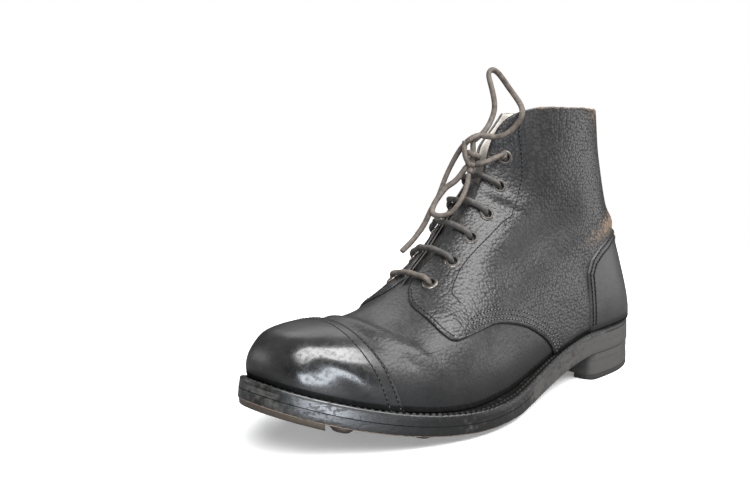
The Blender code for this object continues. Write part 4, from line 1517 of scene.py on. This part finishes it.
@dataclass
class Eyelets:
    """Rings in the facings."""

    table: Table = Table(
        ("outer_section", "outer_inset", "inner_section", "inner_inset"),
        (
            (7.23, 14.0, 7.23, 12.0),
            (8.10, 13.0, 8.15, 11.5),
            (8.95, 12.6, 9.10, 11.0),
            (9.90, 12.2, 10.15, 10.5),
            (11.13, 12.0, 11.70, 10.5),
            (12.48, 11.0, 13.30, 10.5),
        ),
    )
    bore: float = 2.4
    flange: float = 4.3
    barrel: float = 2.9
    drill_heights: Span = (-4.0, 3.0)

    def turn(self, number: int, side: Side, short: float = 0.0) -> Array:
        """Section and signed angle of an eyelet, or of a place short millimetres nearer to the edge."""
        section = self.table.column(f"{side.word}_section")[number]
        inset = self.table.column(f"{side.word}_inset")[number] - short
        return np.array([section, LAST.from_facing(section, side, inset)])

    def above(self, number: int, side: Side, short: float, height: float) -> Array:
        """Point a height above the folded leather, at an eyelet or nearer to the edge."""
        place = self.turn(number, side, short)
        lift = raised(LAST.point(*place)[None], QUARTER_FOLDS)[0]
        return LAST.form(*place, lift + height)

    def places(self) -> list[tuple[str, Array, Array]]:
        """Node name, point and outward direction of each eyelet."""
        found = []
        for side in Side:
            for number in range(len(self.table.rows)):
                way = LAST.normal(*self.turn(number, side))
                found.append((f"eyelet_{side.word}_{number + 1}", self.above(number, side, 0.0, 0.0), way))
        return found

    def drill(self, quarters: bpy.types.Object) -> None:
        """Cuts the eyelets' holes through the quarters."""
        low, high = self.drill_heights
        rod = ((0.0, low), (self.barrel, low), (self.barrel, high), (0.0, high))
        drills = joined([placed(turned(rod, 24), point, up) for _, point, up in self.places()])
        cutter = linked("drills", drills.mesh("drills"))
        cut = quarters.modifiers.new("holes", "BOOLEAN")
        cut.operation = "DIFFERENCE"
        cut.object = cutter
        bpy.context.view_layer.update()
        pierced = quarters.evaluated_get(bpy.context.evaluated_depsgraph_get())
        solid = bpy.data.meshes.new_from_object(pierced)
        quarters.modifiers.remove(cut)
        quarters.data = solid
        bpy.data.objects.remove(cutter)

    def build(self) -> None:
        """All twelve rings, dark with rubbed rims."""
        bore, flange, barrel = self.bore, self.flange, self.barrel
        profile = (
            (bore, -2.6), (bore, 0.4), (bore + 0.12, 0.75), (bore + 0.4, 1.0), (bore + 0.85, 1.0),
            (bore + 1.3, 0.85), (flange - 0.2, 0.6), (flange, 0.25), (flange, -0.2),
            (barrel, -0.2), (barrel, -2.6),
        )
        ring = turned(profile, 36)
        radius = np.hypot(ring.points[:, 0], ring.points[:, 1])
        ring.marks["wear"] = np.exp(-(((radius - flange + 0.1) / 0.25) ** 2))
        rings = [placed(ring, point, up) for _, point, up in self.places()]
        names = [name for name, _, _ in self.places()]
        joined(rings).piece("eyelet_rings", BRASS, Slot.BRASS, names)


def tube(line: Array, wide: float, thick: float, sides: int = 12, twist: float = 0.0) -> Shape:
    """Round-cornered cord along a line, with rounded ends.

    Args:
        line: Points of the middle line.
        wide: Diameter one way.
        thick: Diameter the other way.
        sides: Points round the cord.
        twist: Turns from one end to the other.

    Returns:
        The closed cord.
    """
    way = unit(np.gradient(line, axis=0))
    side = np.cross(way[0], (0.3, 0.2, 0.93))
    turns = np.linspace(0, FULL_TURN, sides, endpoint=False)
    round_one = np.sign(np.cos(turns)) * np.abs(np.cos(turns)) ** 0.8 * wide / 2
    round_two = np.sign(np.sin(turns)) * np.abs(np.sin(turns)) ** 0.8 * thick / 2
    rings = []
    count = len(line)
    for i in range(count):
        side = unit(side - way[i] * (side @ way[i]))
        other = np.cross(way[i], side)
        turn = FULL_TURN * twist * i / (count - 1)
        one = side * math.cos(turn) + other * math.sin(turn)
        two = other * math.cos(turn) - side * math.sin(turn)
        size = 0.72 if i in (0, count - 1) else 1.0
        rings.append(line[i] + size * (np.outer(round_one, one) + np.outer(round_two, two)))
    return lofted(np.array(rings))


@dataclass
class Laces:
    """Bars through the eyelets, and the free lace above them."""

    diameter: float = 3.2
    wide: float = 3.3
    thick: float = 2.9
    knot_centre: Point = (6, 148.5, 142)
    knot_half: Point = (4.0, 3.4, 6.6)
    knot_tie: Point = (7.5, 148.0, 137.5)
    knot_core: Route = ((7, 153, 133), (6.2, 149.6, 138), (6, 148.5, 144), (6, 148.5, 151.5))
    loop_up: Route = (
        (6, 148.5, 151), (10, 142.5, 157), (10, 136.5, 164), (10, 134, 172), (8, 134.6, 183),
        (6, 134, 190.5), (6, 127.5, 191.5), (8, 119.5, 183), (13, 117, 175), (26, 128.5, 167),
        (25, 132, 160), (20, 136, 154.6), (14, 140, 153.2), (9, 145.5, 154.5),
    )
    loop_down: Route = (
        (4.1, 151.7, 137.2), (0.5, 157, 129.2), (-3, 161.2, 125.4), (-5.5, 165.4, 120.0),
        (-6.6, 169.2, 114.4), (-4.2, 171.6, 110.4), (0.8, 170.0, 109.4), (5.6, 166, 111.8),
        (9, 162.4, 118.3), (8.5, 157, 125.4), (7, 153.5, 132.6),
    )
    end_long: Route = (
        (6.5, 152, 152), (-2, 151, 146.3), (-8, 153.5, 136), (-10, 157, 127.4), (-11, 161.6, 118),
        (-12, 165.7, 112), (-13, 170.2, 104.2), (-14.5, 178, 95.5), (-16.5, 185.8, 89),
    )
    end_short: Route = ((6.5, 151, 137), (4.6, 153.6, 143), (4.0, 153.2, 151.5))
    bridge: Route = ((14, 140, 153.2), (9, 145.5, 154.5), (6.5, 152, 152), (2.0, 151.5, 149))

    def make_cords(self) -> None:
        """Free loops and the long end, as tubes in place of their CAD nodes."""
        knot = self.make_knot()
        for name, route, far_end in (
            ("lace_loop_up", self.loop_up, "knot"),
            ("lace_loop_down", self.loop_down, "knot"),
            ("lace_end_long", self.end_long, "bare"),
        ):
            line = smooth_route(route, 90)
            cord = tube(line, self.wide, self.thick, twist=0.25)
            made = cord.piece(f"{name}_cord", LACE_THONG, Slot.LACE, (name,))
            metres(line[0]).tolist()
            metres(line).tolist()

    def make_knot(self) -> bpy.types.Object:
        """The knot's wraps with its short end and the strand that passes over it."""
        turn = np.linspace(0.6, 1.35 * FULL_TURN, 60)
        climb = np.linspace(-0.75, 0.45, 60)
        around = np.column_stack([0.8 * np.cos(turn), 0.8 * np.sin(turn), climb])
        wrap = np.array(self.knot_centre) + np.array(self.knot_half) * around
        routes = (self.knot_core, self.end_short, self.bridge)
        lines = [wrap, *(smooth_route(route, 30) for route in routes)]
        parts = [tube(line, self.wide, self.thick) for line in lines]
        nodes = ("lace_knot", "lace_end_short")
        return joined(parts).piece("lace_knot_wraps", LACE_THONG, Slot.LACE, nodes)

    def bar_leg(self, number: int, side: Side) -> Array:
        """Half of a bar: up out of its eyelet, over the ring and along the facing to its edge."""
        rings = Eyelets()
        shorts = (0.4, 0.6, 1.2, 3.0, 5.6, 8.5)
        heights = (-6.0, -2.5, 0.6, 2.3, 2.4, 2.0)
        leg = [rings.above(number, side, short, height) for short, height in zip(shorts, heights)]
        inset = rings.table.column(f"{side.word}_inset")[number]
        leg.append(rings.above(number, side, inset, 2.4))
        return np.array(leg)

    def make_bars(self) -> None:
        """Six bars that rise from one eyelet, cross the gap and sink in the other."""
        last = len(Eyelets().table.rows) - 1
        for number in range(last + 1):
            outer, inner = (self.bar_leg(number, side) for side in Side)
            shares = np.linspace(0, 1, 4)[1:-1, None]
            crossing = outer[-1] + shares * (inner[-1] - outer[-1])
            if number == last:
                crossing = np.array([self.knot_tie], float)
                outer = outer[:4]
            route = np.concatenate([outer, crossing, inner[::-1]])
            bar = tube(smooth_route(route, 110), self.wide, self.thick, twist=0.1)
            name = f"lace_bar_{number + 1}"
            finish = LACE_THONG if number in (0, last) else BAR_THONG
            bar.piece(f"{name}_thong", finish, Slot.LACE, (name,))


@dataclass
class Sole:
    """Leather layers, heel and irons under the boot.

    Leans are how far the edge is set back round the toe. Pairs of stations or ways across are where a look
    or a lean comes or goes, but gloss_stations are the middle and the reach of the toe's gloss.
    """

    steps: int = 220
    lifts: int = 3
    heel_inset: float = 0.5
    lift_stagger: float = 0.12
    joint_lean: float = 0.6
    welt_lean: float = 1.1
    lean_stations: Span = (225.0, 265.0)
    joint_start: float = 150.0
    welt_end: float = 60.0
    wheel_pitch: float = 3.4
    nick_depth: float = 0.4
    nick_fade: Span = (225.0, 262.0)
    thread_end: float = 64.0
    toe_thread_start: float = 222.0
    thread_inset: float = 3.9
    groove_depth: float = 0.5
    gloss_stations: Span = (276.0, 11.0)
    gloss_across: Span = (8.0, 18.0)
    waist_dust: Span = (110.0, 190.0)
    toe_dust: Span = (286.0, 296.0)
    forefoot_rub: Span = (130.0, 180.0)
    plate_thickness: float = 3.0
    plate_bevel: float = 0.5
    plate_inset: float = 0.6
    heel_plate_width: float = 14.0
    toe_plate_width: float = 15.6
    stud_radius: float = 5.8
    stud_length: float = 4.1
    worn_stud: float = 2.6
    studs: tuple[Span, ...] = (
        (-26, 168), (0, 168), (26, 168), (-36, 186), (-12, 186), (14, 186), (40, 186), (-25, 205),
        (3, 205), (32, 205), (-16, 224), (12, 224), (41, 227), (-33, 246), (-5, 246), (23, 246),
        (-35.5, 268), (28, 267.5),
    )
    toe_plate_start: float = 278.0
    edge_slope: tuple[Span, ...] = ((0.03, 0.5), (0.05, 1.0), (1.4, 1.0))
    heel_corner: float = 5.0

    def breast_corner(self, turns: Array) -> Array:
        """How far the heel's edge is set back to round its front corners."""
        bend = np.clip(1 + (SOLE.station(turns) - SOLE.heel_breast) / self.heel_corner, 0, 1)
        return self.heel_corner * (1 - np.sqrt(1 - bend**2))

    def edge_gloss(self, points: Array) -> Array:
        """How glossy the waxed edge is: most on both sides of the toe."""
        middle, reach = self.gloss_stations
        along = np.exp(-(((points[:, 1] - middle) / reach) ** 2))
        return along * smooth_step(np.abs(points[:, 0]), *self.gloss_across)

    def toe_share(self, turns: Array) -> Array:
        """0 behind the ball and 1 round the toe, where the edge leans inward."""
        return smooth_step(SOLE.station(turns), *self.lean_stations)

    def layer(
        self,
        low: Height,
        high: Height,
        inset: float,
        last_turn: float = math.pi,
        worn: float = 0.0,
        lean: Span = (0.0, 0.0),
    ) -> Shape:
        """Plate of the sole's outline with a slightly sloping edge.

        Args:
            low: Height of the underside over the stations.
            high: Height of the top.
            inset: How far the edge is set back from the welt's.
            last_turn: Turn of the edge where the plate ends.
            worn: How far its lower corner is worn round.
            lean: How much further the underside and the top are set back round the toe.

        Returns:
            The closed plate.
        """
        corner = 0.02 + 0.48 * worn
        foot = ((1.2, 0.0, 0.9), (corner, 0.0, 1.0), (corner / 4, 0.06, 0.75), (0.0, 0.16, 0.25))
        profile = [*foot, *((back, share, 0.0) for back, share in self.edge_slope)]
        turns = np.linspace(0, last_turn, self.steps)
        rounding = inset + (self.breast_corner(turns) if last_turn < math.pi else 0 * turns)
        toe = self.toe_share(turns)
        sides = []
        for side in Side:
            for back, share, _ in profile:
                leaning = toe * (lean[0] + (lean[1] - lean[0]) * share)
                plan = SOLE.inset(side.value * turns, rounding + back + leaning)
                station = plan[:, 1]
                height = low(station) + (high(station) - low(station)) * share
                sides.append(np.column_stack([plan, height]))
        count = len(profile)
        plate = lofted(np.stack(sides[:count] + sides[: count - 1 : -1], 1))
        wear = [wear * worn for _, _, wear in profile]
        wear = np.tile(wear + wear[::-1], len(turns))
        (points, wear), faces = welded(plate.points, plate.faces, [plate.points, wear])
        station = points[:, 1]
        waist = 0.4 * fade(station, *self.waist_dust)
        marks = {
            "wear": wear * (smooth_step(station, *self.forefoot_rub) if last_turn == math.pi else 0.5),
            "dust": waist + 0.2 * smooth_step(station, *self.toe_dust),
            "polish": self.edge_gloss(points),
        }
        return Shape(points, faces, marks)

    def band(self, turns: Array, profile: Sequence[tuple[Array, Height, Array]]) -> Shape:
        """Closed strip along the edge.

        Args:
            turns: Turns of the edge along the strip.
            profile: For each of its corners, an inset, a height over the stations and a rise above it.

        Returns:
            The strip.
        """
        lines = []
        for inset, height, rise in profile:
            plan = SOLE.inset(turns, inset)
            lines.append(np.column_stack([plan, height(plan[:, 1]) + rise]))
        return lofted(np.stack(lines, 1))

    def make_layers(self) -> None:
        """Outsole, midsole, welt, heel rand and insole."""
        joint, top = self.joint_lean, self.welt_lean
        outsole = self.layer(SOLE.ground, SOLE.outsole_top, 0.0, worn=1.0, lean=(0.0, joint))
        midsole = self.layer(SOLE.outsole_top, SOLE.welt_low, 0.06, lean=(joint, top))
        outsole.piece("outsole_leather", SOLE_EDGE, Slot.SOLE, ("outsole",), SHARP_DEGREES)
        midsole.piece("midsole_leather", SOLE_EDGE, Slot.SOLE, ("midsole",), SHARP_DEGREES)
        self.welt().piece("stitched_welt", SOLE_EDGE, Slot.SOLE, ("welt",), WELT_SHARP_DEGREES)
        self.rand().piece("heel_rand_leather", SOLE_EDGE, Slot.SOLE, ("heel_rand",), SHARP_DEGREES)
        self.insole().piece("insole_leather_sheet", INSOLE_HIDE, Slot.TAN, ("insole",), SHARP_DEGREES)

    def make_joint(self) -> None:
        """Dark line between outsole and midsole, from the waist round the toe."""
        start = SOLE.turn_at(self.joint_start)
        turns = np.linspace(start, FULL_TURN - start, 500)
        lean = self.joint_lean * self.toe_share(turns)
        line, inner = (SOLE.inset(turns, inset + lean) for inset in (0.05, 1.05))
        height = SOLE.outsole_top(line[:, 1])
        out = unit(np.column_stack([line - inner, 0 * height]))
        joint = strip(np.column_stack([line, height]), out, 0.22, 0.08)
        joint.piece("sole_joint", BLACK_JOINT_AND_SHADE, Slot.SOLE, ())

    def rand(self) -> Shape:
        """Strip that continues the welt round the heel."""
        end = SOLE.turn_at(self.welt_end)
        turns = np.linspace(-end, end, 160)
        inside = SOLE.ledge.read(SOLE.station(turns))
        low, top = SOLE.welt_low, SOLE.feather
        profile = (
            (0.5, low, 0.0),
            (inside, low, 0.0),
            (inside, top, 0.0),
            (1.3, top, 0.0),
            (0.7, top, -0.3),
            (0.4, top, -0.9),
        )
        return self.band(turns, profile)

    def welt(self) -> Shape:
        """Welt with a wheeled upper edge."""
        end = SOLE.turn_at(self.welt_end)
        turns = np.linspace(end, FULL_TURN - end, 1500)
        plan = SOLE.rim(turns)
        reach = walked(plan)
        inside = SOLE.ledge.read(plan[:, 1])
        wheel = 0.5 + 0.5 * np.cos(FULL_TURN * reach / self.wheel_pitch + 1.2 * np.sin(reach / 19))
        uneven = 0.6 + 0.4 * np.sin(reach / 7.3) * np.sin(reach / 4.1 + 2)
        nick = self.nick_depth * wheel**3 * uneven * fade(plan[:, 1], *self.nick_fade)
        low, top = SOLE.welt_low, SOLE.feather
        lean = self.welt_lean * self.toe_share(turns)
        profile = (
            (0.1 + lean, low, 0.0),
            (inside, low, 0.0),
            (inside, top, -0.2),
            (3.6 + lean / 2, top, -0.6),
            (2.6 + lean / 2, top, -0.4 - nick),
            (1.8 + lean, top, 0.1 - nick),
            (1.2 + lean, top, 0.2 - nick),
            (0.75 + lean, top, -0.1 - nick / 2),
            (0.4 + lean, top, -0.7),
            (0.2 + lean, low, 0.5),
        )
        shape = self.band(turns, profile)
        shape.marks["polish"] = self.edge_gloss(shape.points)
        return shape

    def insole(self) -> Shape:
        """Plate that fills the foot of the upper's inside."""
        clearance, thick, depth = 0.3, 2.6, -4.2
        tip, closing = LAST.toe_tip(thick), LAST.heel_back(clearance)
        section = closing + (tip - closing) * (1 - np.cos(np.linspace(0, math.pi, 120))) / 2
        sides = []
        for side in Side:
            angle = side.value * LAST.sole_angle(section, side, clearance)
            sides.append(LAST.form(section, angle, depth)[:, :2])
        outer, inner = sides
        outer[0] = inner[0] = (outer[0] + inner[0]) / 2
        lines = []
        for line, rise in ((outer, 0.0), (inner, 0.0), (inner, thick), (outer, thick)):
            lines.append(np.column_stack([line, SOLE.feather(line[:, 1]) + clearance + rise]))
        plate = lofted(np.stack(lines, 1))
        (points,), faces = welded(plate.points, plate.faces, [plate.points])
        return Shape(points, faces)

    def make_heel(self) -> None:
        """Stacked lifts."""
        low = self.plate_thickness
        lift = (float(SOLE.ground(0.0)) - low) / self.lifts
        breast = SOLE.turn_at(SOLE.heel_breast)
        for number in range(self.lifts):
            floor = low + number * lift
            inset = self.heel_inset + self.lift_stagger * (number % 2)
            worn = 1.0 if number == 0 else 0.0
            shape = self.layer(level(floor), level(floor + lift), inset, breast, worn)
            name = f"heel_lift_{number + 1}"
            shape.piece(f"{name}_leather", SOLE_EDGE, Slot.SOLE, (name,), SHARP_DEGREES)

    def make_irons(self) -> None:
        """Heel plate and toe plate."""
        thick, bevel, inset = self.plate_thickness, self.plate_bevel, self.plate_inset
        breast = SOLE.turn_at(SOLE.heel_breast)
        turns = np.linspace(-breast, breast, 300)
        edge = inset + self.breast_corner(turns)
        inside, floor = self.heel_plate_width, level(0.0)
        profile = (
            (edge, floor, bevel),
            (edge + bevel, floor, 0.0),
            (inside - inset, floor, 0.0),
            (inside, floor, bevel),
            (inside, floor, thick),
            (edge, floor, thick),
        )
        heel = self.band(turns, profile)
        heel.piece("heel_iron", HEEL_IRON, Slot.IRON, ("heel_plate",), SHARP_DEGREES)
        reach = np.linspace(-1, 1, 150)
        turns = math.pi + reach * (math.pi - SOLE.turn_at(self.toe_plate_start))
        inside = 2 * inset + self.toe_plate_width * np.sqrt(np.clip(1 - reach**8, 0, None))
        under = SOLE.ground
        profile = (
            (inset, under, bevel - thick),
            (inset + bevel, under, -thick),
            (inside - bevel, under, -thick),
            (inside, under, bevel - thick),
            (inside, under, 0.0),
            (inset, under, 0.0),
        )
        toe = self.band(turns, profile)
        toe.marks["wear"] = np.full(len(toe.points), 0.6)
        toe.piece("toe_iron", IRON, Slot.IRON, ("toe_plate",), SHARP_DEGREES)

    def make_studs(self) -> None:
        """Studs of the forefoot, worn short where the toe rises."""
        studs = []
        for across, station in self.studs:
            top = float(SOLE.ground(station))
            length = top if top < self.stud_length else self.worn_stud
            slope = float(SOLE.ground(station + 1) - SOLE.ground(station - 1)) / 2
            up = np.array([0.0, -slope if top > length else 0.0, 1.0])
            radius = self.stud_radius
            profile = (
                (0.0, -length), (radius - 2.4, -length), (radius - 1.5, -length + 0.35),
                (radius - 0.8, -length + 1.1), (radius - 0.2, -1.2), (radius, -0.5),
                (radius, 0.2), (0.0, 0.2),
            )
            studs.append(placed(turned(profile, 28), np.array([across, station, top]), unit(up)))
        names = [f"stud_{number:02d}" for number in range(1, len(self.studs) + 1)]
        shape = joined(studs)
        shape.marks["wear"] = np.full(len(shape.points), 0.5)
        shape.piece("sole_studs", IRON, Slot.IRON, names, SHARP_DEGREES)

    def make_stitches(self) -> None:
        """Dark thread over painted shade in the welt's groove, duller along the sides than round the toe."""
        toe, end = SOLE.turn_at(self.toe_thread_start), SOLE.turn_at(self.thread_end)
        parts = (
            ("outer_welt", end, toe, DARKER_SIDE_THREAD),
            ("toe_welt", toe, FULL_TURN - toe, THREAD),
            ("inner_welt", FULL_TURN - toe, FULL_TURN - end, DARKER_SIDE_THREAD),
        )
        thread = Thread(pitch=3.6, length=2.8, radius=0.8)
        for name, first, last, finish in parts:
            plan = SOLE.inset(np.linspace(first, last, 300), self.thread_inset)
            line = np.column_stack([plan, SOLE.feather(plan[:, 1]) - self.groove_depth])
            up = np.tile((0.0, 0.0, 1.0), (len(line), 1))
            thread.sew(line, up).piece(f"{name}_stitches", finish, Slot.SOLE, ())
            # Painted shade: a black strip lies in the welt's groove.
            strip(line, up, 1.9, 0.06).piece(f"{name}_groove", BLACK_JOINT_AND_SHADE, Slot.SOLE, ())

    def build(self) -> None:
        """The whole sole."""
        self.make_layers()
        self.make_joint()
        self.make_heel()
        self.make_irons()
        self.make_studs()
        self.make_stitches()


@dataclass
class Studio:
    """Camera at the photograph's angle, soft light and a pale floor, darker for light than for the camera."""

    width_px: float = 750.0
    focal_px: float = 796.54
    azimuth: float = 49.69
    elevation: float = 6.77
    roll: float = -1.62
    target: Point = (-93.53, 9.67, 80.0)
    distance: float = 547.99
    sensor: float = 36.0
    ambient: float = 0.1
    floor_glow: float = 0.22
    floor_half: float = 0.75
    floor_seen: Colour = (0.88, 0.88, 0.88)
    floor_lighting: Colour = (0.15, 0.15, 0.15)
    light_aim: Point = (0.0, 0.0, 0.08)

    def camera(self) -> None:
        """Places the camera."""
        az, el, ro = (math.radians(x) for x in (self.azimuth, self.elevation, self.roll))
        back = Vector((math.sin(az) * math.cos(el), -math.cos(az) * math.cos(el), math.sin(el)))
        right = Vector((math.cos(az), math.sin(az), 0.0))
        up = back.cross(right)
        rolled_right = right * math.cos(ro) + up * math.sin(ro)
        rolled_up = up * math.cos(ro) - right * math.sin(ro)
        aim = Vector(self.target) - Vector((X_MIDDLE, 0.0, 0.0))
        spot = (aim + back * self.distance) * MM
        lens = bpy.data.cameras.new("camera")
        lens.sensor_width = self.sensor
        lens.lens = self.sensor * self.focal_px / self.width_px
        lens.clip_start = 0.01
        made = linked("camera", lens)
        turn = Matrix((rolled_right, rolled_up, back)).transposed().to_4x4()
        made.matrix_world = Matrix.Translation(spot) @ turn
        bpy.context.scene.camera = made

    def lamp(
        self,
        name: str,
        toward: Point,
        size: Span,
        radiance: float,
        colour: Colour = (1.0, 1.0, 1.0),
    ) -> None:
        """A rectangular soft light that points at the boot.

        Args:
            name: The light's name.
            toward: Azimuth and elevation in degrees, seen from the boot, and distance in metres.
            size: Its width and height in metres.
            radiance: How bright its face is, with white paper at about 1.
            colour: Its tint.
        """
        data = bpy.data.lights.new(name, "AREA")
        data.shape = "RECTANGLE"
        data.size, data.size_y = size
        data.energy = radiance * math.pi * size[0] * size[1]
        data.color = colour
        made = linked(name, data)
        azimuth, elevation = (math.radians(angle) for angle in toward[:2])
        flat = math.cos(elevation)
        way = Vector((math.sin(azimuth) * flat, -math.cos(azimuth) * flat, math.sin(elevation)))
        made.location = Vector(self.light_aim) + way * toward[2]
        made.rotation_euler = way.to_track_quat("Z", "Y").to_euler()
        made.visible_camera = False

    def world(self) -> None:
        """A white backdrop that gives only a little light."""
        scene = bpy.context.scene
        scene.view_settings.view_transform = "Standard"
        scene.world = bpy.data.worlds.new("studio")
        scene.world.use_nodes = True
        nodes = Nodes(scene.world.node_tree)
        dim = nodes.node("ShaderNodeBackground", {}, {"Strength": self.ambient})
        white = nodes.node("ShaderNodeBackground", {}, {"Color": (1.0, 1.0, 1.0), "Strength": 1.0})
        seen = nodes.node("ShaderNodeLightPath", output="Is Camera Ray")
        shown = nodes.node("ShaderNodeMixShader", {}, {0: seen, 1: dim, 2: white})
        nodes.feed(nodes.tree.nodes["World Output"].inputs["Surface"], shown)

    def floor(self) -> None:
        """A pale floor."""
        half = self.floor_half
        corners = [(-half, -half, 0), (half, -half, 0), (half, half, 0), (-half, half, 0)]
        mesh = bpy.data.meshes.new("floor")
        mesh.from_pydata(corners, [], [(0, 1, 2, 3)])
        pale = Shader("pale_floor")
        seen = pale.node("ShaderNodeLightPath", output="Is Camera Ray")
        mesh.materials.append(
            pale.dress(
                Base_Color=pale.mix(seen, self.floor_lighting, self.floor_seen),
                Roughness=0.8,
                Emission_Color=pale.mix(seen, (0.0, 0.0, 0.0), (1.0, 1.0, 1.0)),
                Emission_Strength=self.floor_glow,
            )
        )
        linked("floor", mesh)

    def light(self) -> None:
        """Soft light from above, from behind and both sides, and from a low window in front."""
        self.world()
        self.lamp("overhead", (85, 53, 1.7), (3.0, 1.1), 11.0)
        self.lamp("behind", (231, 50, 1.9), (2.0, 1.0), 3.0)
        self.lamp("window", (48, -6, 0.44), (0.32, 0.13), 11.0, (0.86, 0.92, 1.0))
        self.lamp("right", (150, -1, 1.8), (1.1, 0.4), 4.4)
        self.lamp("left", (-50, 14, 1.9), (1.2, 0.6), 3.4)
        self.floor()

    def build(self) -> None:
        """Camera first, then the light."""
        self.camera()
        self.light()


def main() -> None:
    """Builds the boot in order."""
    logging.basicConfig(level=logging.INFO, format="%(name)s %(message)s")
    laces = Laces()
    Studio().build()
    laces.make_cords()
    laces.make_bars()
    Upper().build()
    Eyelets().build()
    Sole().build()


if __name__ == "__main__":
    main()
